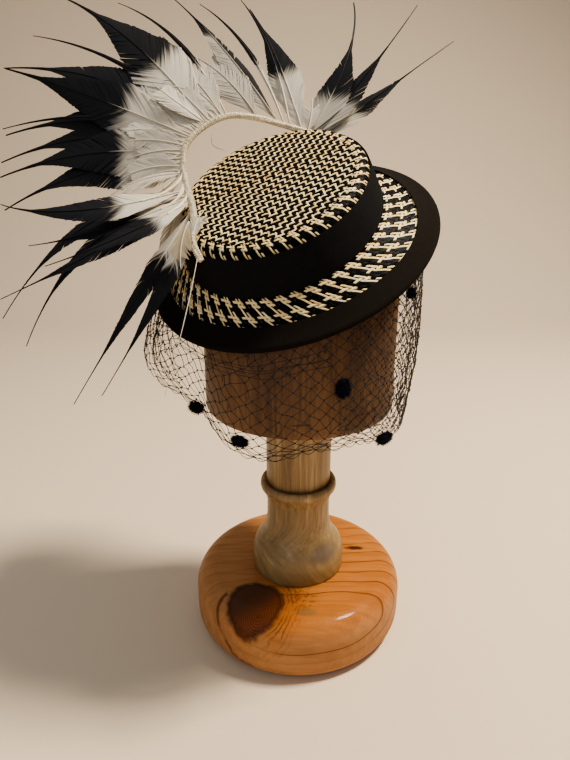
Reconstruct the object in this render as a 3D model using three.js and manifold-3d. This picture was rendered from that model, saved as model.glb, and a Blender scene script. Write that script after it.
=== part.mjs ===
// A small tilted hat of two-tone woven straw, with a ribbon band, a bound brim edge, a spray of feathers
// and a net veil with chenille dots, on a turned wooden hat stand.
// Millimetres. +Z is up, +X is the viewer's right, +Y is the back, and the origin is the centre of the
// stand's underside.
import * as THREE from "three";
import { mergeVertices } from "three/addons/utils/BufferGeometryUtils.js";
import Module from "manifold-3d";

const wasm = await Module();
wasm.setup();

const { lerp, degToRad } = THREE.MathUtils;

// Driving dimensions of the stand
const gap = 0.3;
const base = { radius: 102.5, height: 57, topRound: 20, footRound: 15, steps: 40 };
const column = {
  height: 172, foot: 45.4, waist: 30.4, ring: 36.8, shaft: 30.8, ringHeight: 89, ringStretch: 2.3, steps: 28,
};
const block = { radius: 85, underside: base.height + column.height, edgeRound: 6, height: 210, steps: 44 };

// Driving dimensions of the hat, in its own frame: the origin is the middle of the brim's break line
const hatPlace = { x: -15, y: 0, z: 387, forward: 28, left: 19.2, turn: -10.6 };
const straw = 2.0;
const ribbon = 1.2;
const ringSteps = 40;
const crownFoot = { a: 87.5, b: 93.7, x: -1.5, y: 6.7, h: 0 };
const bandTop = { a: 81.8, b: 88.3, x: -0.5, y: 8.3, h: 31.3 };
const crownHeight = 37.4;
const brimEdge = { a: 126.4, b: 121.2, fall: 20, curve: 1.5 };
const binding = { width: 17, cloth: 1.0, strawInset: 1.6 };

// Driving dimensions of the veil: a coarse net of diamonds that hangs from the brim's underside
const net = {
  thick: 1.0, halfStep: 18, columns: 14, open: 0.87, tape: 4, bulge: 7, first: 22, last: -202,
};
const dot = { across: 7, up: 5.5, deep: 4.5 };

// Spine of the feather spray: angle round the crown, distance from its middle, height over the brim's break
const spineRows = [
  { angle: -126, radius: 89.2, height: 30 },
  { angle: -134, radius: 82, height: 39.8 },
  { angle: -144, radius: 71, height: 40.5 },
  { angle: -172, radius: 64, height: 42 },
  { angle: -198, radius: 75, height: 48 },
  { angle: -217, radius: 88, height: 60 },
  { angle: -230, radius: 90, height: 64 },
  { angle: -248, radius: 92.5, height: 62 },
  { angle: -263, radius: 90, height: 52 },
  { angle: -282, radius: 93, height: 32 },
  { angle: -298, radius: 93, height: 20 },
];
const spine = { radius: 2, sides: 6, steps: 30 };

// Feathers: place along the spine from 0 to 1, compass bearing and rise over the hat's plane in degrees,
// length, greatest width of the vane, and how far the middle swings to the left as a share of the length
const featherRows = [
  { at: 0.02, bearing: -102, rise: -15, length: 115, width: 5, swing: 0.04 },
  { at: 0.17, bearing: -123, rise: -19, length: 155, width: 10, swing: 0.07 },
  { at: 0.22, bearing: -129, rise: -19, length: 180, width: 13, swing: 0.04 },
  { at: 0.26, bearing: -152, rise: 5, length: 126, width: 22, swing: 0.13 },
  { at: 0.27, bearing: -160, rise: -3, length: 178, width: 13, swing: 0.1 },
  { at: 0.28, bearing: -173, rise: 2, length: 146, width: 12, swing: 0.14 },
  { at: 0.29, bearing: -141, rise: -9, length: 178, width: 14, swing: -0.2 },
  { at: 0.3, bearing: -151, rise: -5, length: 182, width: 15, swing: -0.22 },
  { at: 0.32, bearing: 178, rise: 10, length: 167, width: 12, swing: 0.18 },
  { at: 0.41, bearing: -173, rise: 6, length: 162, width: 20, swing: -0.12 },
  { at: 0.46, bearing: -178, rise: 10, length: 165, width: 22, swing: -0.06 },
  { at: 0.48, bearing: 178, rise: 11, length: 168, width: 18, swing: -0.12 },
  { at: 0.5, bearing: 172, rise: 15, length: 168, width: 20, swing: -0.12 },
  { at: 0.52, bearing: 175, rise: 17, length: 168, width: 6, swing: -0.1 },
  { at: 0.53, bearing: 154, rise: 22, length: 200, width: 24, swing: 0.02 },
  { at: 0.56, bearing: 160, rise: 24, length: 192, width: 26, swing: -0.09 },
  { at: 0.58, bearing: 148, rise: 27, length: 190, width: 6, swing: -0.07 },
  { at: 0.6, bearing: 134, rise: 30, length: 198, width: 26, swing: -0.04 },
  { at: 0.67, bearing: 128, rise: 30, length: 165, width: 5, swing: -0.08 },
  { at: 0.71, bearing: 115, rise: 33, length: 146, width: 22, swing: -0.1 },
  { at: 0.78, bearing: 121, rise: 33, length: 150, width: 9, swing: -0.07 },
  { at: 0.88, bearing: 103, rise: 29, length: 152, width: 14, swing: -0.05 },
  { at: 0.91, bearing: 105, rise: 31, length: 142, width: 20, swing: -0.03 },
  { at: 0.94, bearing: 70, rise: 20, length: 150, width: 22, swing: -0.12 },
  { at: 0.97, bearing: 48, rise: 18, length: 150, width: 16, swing: -0.1 },
  { at: 0.99, bearing: 38, rise: 10, length: 152, width: 14, swing: -0.1 },
];
const feather = { thick: 1.2, arch: 0.04 };
// Vane outline along one feather: share of the length, width as a share of the greatest, least width
const vaneRows = [
  { share: 0, wide: 0, least: 2.2 },
  { share: 0.12, wide: 0.55, least: 2.2 },
  { share: 0.28, wide: 0.95, least: 2 },
  { share: 0.42, wide: 1, least: 1.8 },
  { share: 0.58, wide: 0.75, least: 1.6 },
  { share: 0.75, wide: 0.25, least: 1.4 },
  { share: 1, wide: 0, least: 1.1 },
];

// Hem of the veil, round the stand's axis: bearing in degrees, distance from the axis and height, with the
// share across the brim at which the net is sewn to its underside
const hemRows = [
  { bearing: 30, radius: 93, height: 220, sewn: 0.64 },
  { bearing: 0, radius: 92, height: 217, sewn: 0.64 },
  { bearing: -20, radius: 94, height: 218, sewn: 0.66 },
  { bearing: -40, radius: 96, height: 221, sewn: 0.74 },
  { bearing: -65, radius: 99, height: 227, sewn: 0.84 },
  { bearing: -90, radius: 104, height: 226, sewn: 0.88 },
  { bearing: -105, radius: 108, height: 220, sewn: 0.88 },
  { bearing: -120, radius: 107, height: 224, sewn: 0.88 },
  { bearing: -133, radius: 102, height: 233, sewn: 0.87 },
  { bearing: -145, radius: 99, height: 243, sewn: 0.85 },
  { bearing: -158, radius: 110, height: 251, sewn: 0.84 },
  { bearing: -168, radius: 126, height: 259, sewn: 0.84 },
  { bearing: -180, radius: 137, height: 272, sewn: 0.82 },
  { bearing: -200, radius: 132, height: 288, sewn: 0.8 },
];
// Chenille dots on the net: bearing round the stand's axis, height, and how far each one sinks into its
// diamond to reach the threads
const dotRows = [
  { bearing: -144, height: 250, sink: -0.3 },
  { bearing: -116, height: 238, sink: 0.8 },
  { bearing: -74, height: 281, sink: 1.3 },
  { bearing: -50, height: 230, sink: 0.6 },
  { bearing: -38, height: 344, sink: 2.7 },
];

const colours = {
  pine: 0xc07a3c, column: 0x8f7753, oak: 0x6b4a30, straw: 0xd9c79a, ribbon: 0x17161a, feather: 0xd8d2c4,
  veil: 0x1a1a1f, dot: 0x10131f,
};

function material(colour, roughness) {
  return new THREE.MeshStandardMaterial({ color: colour, roughness, metalness: 0 });
}

/** A manifold from points and triangles, turned the right way out. */
function solid(points, faces) {
  const volume = faces.reduce((sum, [a, b, c]) => {
    const [p, q, r] = [points[a], points[b], points[c]];
    return sum + p[0] * (q[1] * r[2] - q[2] * r[1]) + p[1] * (q[2] * r[0] - q[0] * r[2])
      + p[2] * (q[0] * r[1] - q[1] * r[0]);
  }, 0);
  const outward = volume > 0 ? faces : faces.map(([a, b, c]) => [a, c, b]);
  const mesh = new wasm.Mesh({
    numProp: 3,
    vertProperties: new Float32Array(points.flat()),
    triVerts: new Uint32Array(outward.flat()),
  });
  return new wasm.Manifold(mesh);
}

/** A closed solid lofted round an axis. Each profile entry is a function of the angle, or a pole point. */
function ringSolid(profile, steps) {
  const points = [];
  const rings = profile.map((entry) => {
    const start = points.length;
    const count = typeof entry === "function" ? steps : 1;
    for (let i = 0; i < count; i++) {
      points.push(count > 1 ? entry((2 * Math.PI * i) / steps) : entry);
    }
    return { start, count };
  });
  const closed = rings[0].count > 1;
  const spans = closed ? rings.length : rings.length - 1;
  const faces = [];
  for (let k = 0; k < spans; k++) {
    const from = rings[k];
    const to = rings[(k + 1) % rings.length];
    for (let i = 0; i < steps; i++) {
      const j = (i + 1) % steps;
      const [a0, a1] = [from.start + (i % from.count), from.start + (j % from.count)];
      const [b0, b1] = [to.start + (i % to.count), to.start + (j % to.count)];
      if (from.count > 1) faces.push([a0, a1, b0]);
      if (to.count > 1) faces.push([a1, b1, b0]);
    }
  }
  return solid(points, faces);
}

/** A closed solid through a row of sections that each have the same number of points. */
function sectionSolid(sections) {
  const sides = sections[0].length;
  const faces = [];
  for (let k = 0; k + 1 < sections.length; k++) {
    for (let i = 0; i < sides; i++) {
      const j = (i + 1) % sides;
      const [a0, a1, b0, b1] = [k * sides + i, k * sides + j, (k + 1) * sides + i, (k + 1) * sides + j];
      faces.push([a0, a1, b0], [a1, b1, b0]);
    }
  }
  const end = (sections.length - 1) * sides;
  for (let i = 1; i + 1 < sides; i++) {
    faces.push([0, i + 1, i], [end, end + i, end + i + 1]);
  }
  return solid(sections.flat(), faces);
}

function manifoldFromGeometry(geometry) {
  geometry.deleteAttribute("normal");
  geometry.deleteAttribute("uv");
  const merged = mergeVertices(geometry, 1e-4);
  return new wasm.Manifold(new wasm.Mesh({
    numProp: 3,
    vertProperties: new Float32Array(merged.attributes.position.array),
    triVerts: new Uint32Array(merged.index.array),
  }));
}

function geometryOf(manifold) {
  const mesh = manifold.getMesh();
  const geometry = new THREE.BufferGeometry();
  geometry.setAttribute("position", new THREE.BufferAttribute(new Float32Array(mesh.vertProperties), 3));
  geometry.setIndex(new THREE.BufferAttribute(new Uint32Array(mesh.triVerts), 1));
  geometry.computeVertexNormals();
  return geometry;
}

function piece(name, manifold, look) {
  const mesh = new THREE.Mesh(geometryOf(manifold), look);
  mesh.name = name;
  return mesh;
}

/** Points of an arc in a turned profile, as [radius, height]. */
function arc(centreRadius, centreHeight, radius, fromDegrees, toDegrees, steps) {
  return Array.from({ length: steps + 1 }, (_, i) => {
    const angle = degToRad(lerp(fromDegrees, toDegrees, i / steps));
    return [centreRadius + radius * Math.cos(angle), centreHeight + radius * Math.sin(angle)];
  });
}

function turned(profile, steps) {
  const points = profile.map(([radius, height]) => new THREE.Vector2(radius, height));
  const lathe = new THREE.LatheGeometry(points, steps);
  lathe.rotateX(Math.PI / 2);
  return manifoldFromGeometry(lathe);
}

function standBase() {
  const { radius, height, topRound, footRound, steps } = base;
  return turned([
    [0, 0],
    ...arc(radius - footRound, footRound, footRound, -90, 0, 3),
    ...arc(radius - topRound, height - topRound, topRound, 0, 90, 4),
    [0, height],
  ], steps);
}

function standColumn() {
  const { foot, waist, ring, shaft, height, ringHeight, ringStretch, steps } = column;
  const z = base.height;
  const middle = z + ringHeight;
  const bead = arc(shaft, middle, ring - shaft, -75, 75, 4);
  return turned([
    [0, z],
    [foot - 0.8, z],
    [foot, z + 3],
    [foot, z + 15],
    [foot - 3, z + 27],
    [foot - 8, z + 34],
    [waist + 2.4, z + 43],
    [waist, z + 56],
    [waist, z + 74],
    ...bead.map(([radius, level]) => [radius, middle + (level - middle) * ringStretch]),
    [shaft - 0.4, z + 103],
    [shaft, z + height],
    [0, z + height],
  ], steps);
}

const hat = new THREE.Group();
hat.position.set(hatPlace.x, hatPlace.y, hatPlace.z);
hat.rotation.set(degToRad(hatPlace.forward), degToRad(-hatPlace.left), degToRad(hatPlace.turn), "YXZ");
hat.updateMatrix();

function hatToWorld(point) {
  return new THREE.Vector3(...point).applyMatrix4(hat.matrix).toArray();
}

/** A point of the crown's wall, in from the ribbon's outer face by an inset. */
function crownPoint(angle, height, inset) {
  const up = height / bandTop.h;
  const x = lerp(crownFoot.x, bandTop.x, up);
  const y = lerp(crownFoot.y, bandTop.y, up);
  const a = lerp(crownFoot.a, bandTop.a, up) - inset;
  const b = lerp(crownFoot.b, bandTop.b, up) - inset;
  return [x + a * Math.cos(angle), y + b * Math.sin(angle), height];
}

/** A point of the brim: share 0 is the crown's foot and share 1 is the outer edge. */
function brimPoint(angle, share, depth) {
  const foot = crownPoint(angle, 0, 0);
  const edge = [brimEdge.a * Math.cos(angle), brimEdge.b * Math.sin(angle)];
  const reach = Math.min(Math.max(share, 0), 1);
  const fall = brimEdge.fall * (1 - (1 - reach) ** brimEdge.curve);
  return [lerp(foot[0], edge[0], share), lerp(foot[1], edge[1], share), -fall - depth];
}

/** The share at which the brim is a given distance in from its edge. */
function shareFromEdge(angle, inset) {
  const foot = crownPoint(angle, 0, 0);
  const width = Math.hypot(brimEdge.a * Math.cos(angle) - foot[0], brimEdge.b * Math.sin(angle) - foot[1]);
  return 1 - inset / width;
}

/** The crown's shell, or with an extra inset the plug that fills it. */
function crownOutline(inset, top) {
  const shoulder = [
    { down: 6.5, inset: 0 },
    { down: 2.6, inset: 2 },
    { down: 0.6, inset: 5.5 },
    { down: 0, inset: 11 },
  ];
  return shoulder.map((row) => (angle) => {
    const [x, y] = crownPoint(angle, Math.min(top - row.down, bandTop.h), inset + row.inset);
    return [x, y, top - row.down];
  });
}

function crownShell() {
  const outer = ribbon + gap;
  const inner = outer + straw;
  const middle = [bandTop.x, bandTop.y];
  return ringSolid([
    [...middle, crownHeight],
    ...crownOutline(outer, crownHeight).reverse(),
    (angle) => crownPoint(angle, 0, outer),
    (angle) => [...crownPoint(angle, 0, outer).slice(0, 2), -straw],
    (angle) => [...crownPoint(angle, 0, inner).slice(0, 2), -straw],
    (angle) => crownPoint(angle, 0, inner),
    ...crownOutline(inner, crownHeight - straw),
    [...middle, crownHeight - straw],
  ], ringSteps);
}

/** Shares across the brim at which every layer of it bends, so that the layers lie parallel. */
function brimShares(angle, edgeInset) {
  const bound = shareFromEdge(angle, binding.width);
  return [0, bound, shareFromEdge(angle, binding.width / 2), shareFromEdge(angle, edgeInset)];
}

function brimSheet() {
  const innerShare = -0.028;
  const bends = [0, 1, 2, 3];
  const layer = (depth) => [
    (angle) => brimPoint(angle, innerShare, depth),
    ...bends.map((k) => (angle) => brimPoint(angle, brimShares(angle, binding.strawInset)[k], depth)),
  ];
  return ringSolid([...layer(0), ...layer(straw).reverse()], ringSteps);
}

function hatBand() {
  const low = 0.4;
  const high = bandTop.h;
  return ringSolid([
    (angle) => crownPoint(angle, low, 0),
    (angle) => crownPoint(angle, high, 0),
    (angle) => crownPoint(angle, high, ribbon),
    (angle) => crownPoint(angle, low, ribbon),
  ], ringSteps);
}

/** The folded strip round the brim's edge, with the straw edge inside it. */
function brimBinding() {
  const { width, cloth } = binding;
  const over = gap + cloth;
  const under = straw + gap + cloth;
  const rows = [
    { inset: width, depth: -over },
    { inset: width / 2, depth: -over },
    { inset: 0.7, depth: -over + 0.4 },
    { inset: 0, depth: straw / 2 },
    { inset: 0.7, depth: under - 0.4 },
    { inset: width / 2, depth: under },
    { inset: width, depth: under },
    { inset: width, depth: under - cloth },
    { inset: width / 2, depth: under - cloth },
    { inset: 1.3, depth: under - cloth },
    { inset: 1.3, depth: -gap },
    { inset: width / 2, depth: -gap },
    { inset: width, depth: -gap },
  ];
  const lines = rows.map((row) => (angle) => brimPoint(angle, shareFromEdge(angle, row.inset), row.depth));
  return ringSolid(lines, ringSteps);
}

/** Everything above the brim's underside, in the world frame, for cutting what stands or hangs below it. */
function aboveBrim() {
  const depth = straw + binding.cloth + 2 * gap + 0.05;
  const outward = 1.7;
  const ceiling = 130;
  const rows = [0, 1, 2, 3].map((k) => (angle) => brimPoint(angle, brimShares(angle, 0)[k], depth));
  const world = [
    [crownFoot.x, crownFoot.y, -depth],
    ...rows,
    (angle) => brimPoint(angle, outward, depth),
    (angle) => [...brimPoint(angle, outward, 0).slice(0, 2), ceiling],
    [crownFoot.x, crownFoot.y, ceiling],
  ].map((entry) => (typeof entry === "function" ? (angle) => hatToWorld(entry(angle)) : hatToWorld(entry)));
  return ringSolid(world, ringSteps);
}

/** The block's cylinder, cut off under the brim, with a head that fills the crown. */
function standBlock() {
  const { radius, underside, edgeRound, height, steps } = block;
  const cylinder = turned([
    [0, underside],
    ...arc(radius - edgeRound, underside + edgeRound, edgeRound, -90, 0, 3),
    [radius, underside + height],
    [0, underside + height],
  ], steps);
  const inset = ribbon + gap + straw + 2 * gap;
  const floor = -5;
  const top = crownHeight - straw - 2 * gap;
  const head = ringSolid([
    [crownFoot.x, crownFoot.y, floor],
    (angle) => crownPoint(angle, floor, inset + 0.6),
    ...crownOutline(inset, top),
    [bandTop.x, bandTop.y, top],
  ].map((entry) => (typeof entry === "function" ? (angle) => hatToWorld(entry(angle)) : hatToWorld(entry))),
  ringSteps);
  return cylinder.subtract(aboveBrim()).add(head);
}

/** A feather as a flat tapered blade along a bowed midrib. */
function featherBlade(root, row) {
  const bearing = degToRad(row.bearing);
  const rise = degToRad(row.rise);
  const along = new THREE.Vector3(
    Math.cos(bearing) * Math.cos(rise), Math.sin(bearing) * Math.cos(rise), Math.sin(rise));
  const side = new THREE.Vector3(-Math.sin(bearing), Math.cos(bearing), 0);
  const tip = root.clone().addScaledVector(along, row.length);
  const bow = root.clone().lerp(tip, 0.5)
    .addScaledVector(side, 2 * row.swing * row.length)
    .add(new THREE.Vector3(0, 0, 2 * feather.arch * row.length));
  const midrib = new THREE.QuadraticBezierCurve3(root, bow, tip);
  const sections = vaneRows.map(({ share, wide, least }) => {
    const centre = midrib.getPoint(share);
    const tangent = midrib.getTangent(share);
    const across = new THREE.Vector3(-tangent.y, tangent.x, 0).normalize();
    const up = new THREE.Vector3().crossVectors(tangent, across).normalize();
    const half = Math.max(wide * row.width, least) / 2;
    const thick = Math.min(feather.thick, 2 * half) / 2;
    return [[across, half], [up, thick], [across, -half], [up, -thick]]
      .map(([direction, distance]) => centre.clone().addScaledVector(direction, distance).toArray());
  });
  return sectionSolid(sections);
}

function featherSpray() {
  const path = new THREE.CatmullRomCurve3(spineRows.map(({ angle, radius, height }) => new THREE.Vector3(
    bandTop.x + radius * Math.cos(degToRad(angle)), bandTop.y + radius * Math.sin(degToRad(angle)), height)));
  const round = new THREE.Shape().absarc(0, 0, spine.radius, 0, 2 * Math.PI);
  const outline = new THREE.Shape(round.getSpacedPoints(spine.sides).slice(0, spine.sides));
  const stem = new THREE.ExtrudeGeometry(outline, { steps: spine.steps, extrudePath: path });
  const blades = featherRows.map((row) => featherBlade(path.getPointAt(row.at), row));
  return blades.reduce((whole, blade) => whole.add(blade), manifoldFromGeometry(stem));
}

/** A column of the hem table, smoothly between its rows. */
function hemAt(bearing, column) {
  const turnedBearing = bearing > 40 ? bearing - 360 : bearing;
  const next = hemRows.findIndex((row) => row.bearing <= turnedBearing);
  const last = hemRows.length - 1;
  const k = next < 0 ? last - 1 : Math.min(Math.max(next - 1, 0), last - 1);
  const [before, from, to, after] = [k - 1, k, k + 1, k + 2]
    .map((i) => hemRows[Math.min(Math.max(i, 0), last)][column]);
  const share = (hemRows[k].bearing - turnedBearing) / (hemRows[k].bearing - hemRows[k + 1].bearing);
  const t = Math.min(Math.max(share, 0), 1);
  return 0.5 * (2 * from + (to - before) * t + (2 * before - 5 * from + 4 * to - after) * t ** 2
    + (3 * from - before - 3 * to + after) * t ** 3);
}

/** One hanging line of the veil, from the brim's underside to the hem, as a function of the height. */
function veilLine(angle) {
  const sewnAt = (share) => hatToWorld(brimPoint(angle, share, straw + binding.cloth + gap));
  const bearingOf = (point) => Math.atan2(point[1], point[0]);
  const edge = sewnAt(1);
  const top = sewnAt(hemAt(THREE.MathUtils.radToDeg(bearingOf(edge)), "sewn"));
  const bearing = bearingOf(top);
  const topRadius = Math.hypot(top[0], top[1]);
  const degrees = THREE.MathUtils.radToDeg(bearing);
  const hem = { radius: hemAt(degrees, "radius"), height: hemAt(degrees, "height") };
  const drop = top[2] - hem.height;
  const at = (height, outward = 0) => {
    const share = Math.max((top[2] - height) / drop, 0);
    const fill = Math.sin(Math.PI * Math.min(share, 1));
    const radius = lerp(topRadius, hem.radius, share) + net.bulge * fill * Math.min(drop / 150, 1) + outward;
    return [radius * Math.cos(bearing), radius * Math.sin(bearing), height];
  };
  return { top: top[2], hem: hem.height, degrees, at };
}

function veilAngle(column) {
  return degToRad(lerp(net.first, net.last, column / (2 * net.columns)));
}

/** The sewing tape along the net's top edge. */
function veilTape() {
  const half = net.thick / 2;
  const sections = Array.from({ length: 2 * net.columns + 1 }, (_, i) => {
    const line = veilLine(veilAngle(i));
    return [
      line.at(line.top + 2, half), line.at(line.top + 2, -half),
      line.at(line.top - net.tape, -half), line.at(line.top - net.tape, half),
    ];
  });
  return sectionSolid(sections);
}

/** The diamonds of the net, each a flat frame round its gap, over the whole hanging band. */
function veilNet() {
  const points = [];
  const faces = [];
  const known = new Map();
  const half = net.thick / 2;
  const lines = Array.from({ length: 2 * net.columns + 1 }, (_, i) => veilLine(veilAngle(i)));
  const place = (i, j, outward) => lines[i].at(lines[i].hem + j * net.halfStep, outward);
  const vertex = (key, make) => {
    if (!known.has(key)) {
      known.set(key, points.length);
      points.push(make());
    }
    return known.get(key);
  };
  const cells = [];
  for (let i = 1; i < 2 * net.columns; i++) {
    for (let j = 1; lines[i].hem + (j - 1) * net.halfStep < lines[i].top - 2; j++) {
      if ((i + j) % 2 === 0) cells.push([i, j]);
    }
  }
  const edges = new Map();
  for (const [i, j] of cells) {
    const corners = [[i + 1, j], [i, j + 1], [i - 1, j], [i, j - 1]];
    const ring = [half, -half].map((outward, layer) => {
      const outer = corners.map(([p, q]) => vertex(`${p},${q},${layer}`, () => place(p, q, outward)));
      const centre = place(i, j, outward);
      const inner = corners.map(([p, q]) => vertex(`${p},${q},${layer},${i},${j}`,
        () => place(p, q, outward).map((value, k) => lerp(centre[k], value, net.open))));
      return { outer, inner };
    });
    for (let k = 0; k < 4; k++) {
      const m = (k + 1) % 4;
      const [front, back] = ring;
      const quad = (a, b, c, d) => [[a, b, c], [a, c, d]];
      faces.push(...quad(front.outer[k], front.outer[m], front.inner[m], front.inner[k]));
      faces.push(...quad(back.outer[m], back.outer[k], back.inner[k], back.inner[m]));
      faces.push(...quad(front.inner[k], front.inner[m], back.inner[m], back.inner[k]));
      const name = [`${corners[k]}`, `${corners[m]}`].sort().join(" ");
      if (edges.has(name)) edges.delete(name);
      else edges.set(name, quad(front.outer[m], front.outer[k], back.outer[k], back.outer[m]));
    }
  }
  faces.push(...[...edges.values()].flat());
  return solid(points, faces);
}

function veil() {
  const whole = veilNet().add(veilTape()).subtract(aboveBrim());
  return whole.decompose().reduce((largest, part) => (part.volume() > largest.volume() ? part : largest));
}

/** A chenille dot, seated on the outside of the net. */
function veilDot({ bearing, height, sink }) {
  const lines = Array.from({ length: 90 }, (_, i) => veilLine(veilAngle((i * 2 * net.columns) / 89)));
  const distance = (line) => Math.abs(((line.degrees - bearing + 540) % 360) - 180);
  const line = lines.reduce((nearest, other) => (distance(other) < distance(nearest) ? other : nearest));
  const ball = new THREE.IcosahedronGeometry(1, 1);
  ball.scale(dot.deep, dot.across, dot.up);
  ball.rotateZ(degToRad(line.degrees));
  ball.translate(...line.at(height, net.thick / 2 + 2 * gap + dot.deep - sink));
  return manifoldFromGeometry(ball);
}

const black = material(colours.ribbon, 0.85);
const woven = material(colours.straw, 0.7);
hat.add(
  piece("crown", crownShell(), woven),
  piece("brim", brimSheet(), woven.clone()),
  piece("hat_band", hatBand(), black),
  piece("brim_binding", brimBinding(), black.clone()),
  piece("feather_spray", featherSpray(), material(colours.feather, 0.6)),
);

const object = new THREE.Group();
object.add(
  piece("stand_base", standBase(), material(colours.pine, 0.45)),
  piece("stand_column", standColumn(), material(colours.column, 0.6)),
  piece("stand_block", standBlock(), material(colours.oak, 0.65)),
  piece("veil", veil(), material(colours.veil, 0.8)),
  hat,
);
dotRows.forEach((row, i) => {
  object.add(piece(`veil_dot_${i + 1}`, veilDot(row), material(colours.dot, 1)));
});

export default object;
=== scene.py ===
# %% [markdown]
# A small tilted straw hat with feathers and a dotted veil, on a turned wooden hat stand.
# Each step models one piece of the real object. Most of them are made the way that the real piece is: straw is
# woven flat and then laid over the crown, ribbon is cut as a strip and then folded, and a feather grows its
# barbs from a quill. Only the last act bends the flat work into its place.

# %% Start
import math

import bpy
import numpy as np
from mathutils import Matrix, Vector


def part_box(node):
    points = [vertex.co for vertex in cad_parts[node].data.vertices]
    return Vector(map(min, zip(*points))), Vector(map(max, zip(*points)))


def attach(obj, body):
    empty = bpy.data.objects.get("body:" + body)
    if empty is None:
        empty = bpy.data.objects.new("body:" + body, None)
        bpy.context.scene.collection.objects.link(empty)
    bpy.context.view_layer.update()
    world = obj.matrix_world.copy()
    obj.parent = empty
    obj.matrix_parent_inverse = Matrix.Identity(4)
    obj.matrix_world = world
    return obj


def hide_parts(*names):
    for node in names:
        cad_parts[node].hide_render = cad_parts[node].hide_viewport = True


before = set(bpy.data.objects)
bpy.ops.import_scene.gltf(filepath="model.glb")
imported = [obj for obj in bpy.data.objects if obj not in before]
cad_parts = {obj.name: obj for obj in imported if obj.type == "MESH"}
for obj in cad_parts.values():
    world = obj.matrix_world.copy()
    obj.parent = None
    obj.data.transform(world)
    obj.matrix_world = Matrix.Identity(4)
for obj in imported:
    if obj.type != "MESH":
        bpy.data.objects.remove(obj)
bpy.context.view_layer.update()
mm = 0.001
rng = np.random.default_rng(7)
print("nodes", sorted(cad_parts))

# %% [markdown]
# The camera comes first, because every comparison with the photograph depends on it. It stands half a metre in
# front of the stand, a little above the hat's crown, and looks down by 19.6 degrees.

# %% Camera
camera_height = 0.428
camera_distance = 0.496
camera_side = -0.013
look_down = 19.6
picture_height = 760
focal_pixels = 575

camera_data = bpy.data.cameras.new("camera")
camera_data.sensor_width = 36
camera_data.lens = focal_pixels * camera_data.sensor_width / picture_height
camera = bpy.data.objects.new("camera", camera_data)
camera.location = (camera_side, -camera_distance, camera_height)
camera.rotation_euler = (math.radians(90 - look_down), 0, 0)
bpy.context.scene.collection.objects.link(camera)
bpy.context.scene.camera = camera
print("lens", round(camera_data.lens, 2))

# %% [markdown]
# A material is a small graph of nodes. Writing each link by hand hides what the finish is, so a short helper
# makes a node, feeds its inputs with numbers or with other nodes' outputs, and returns its output.

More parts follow.
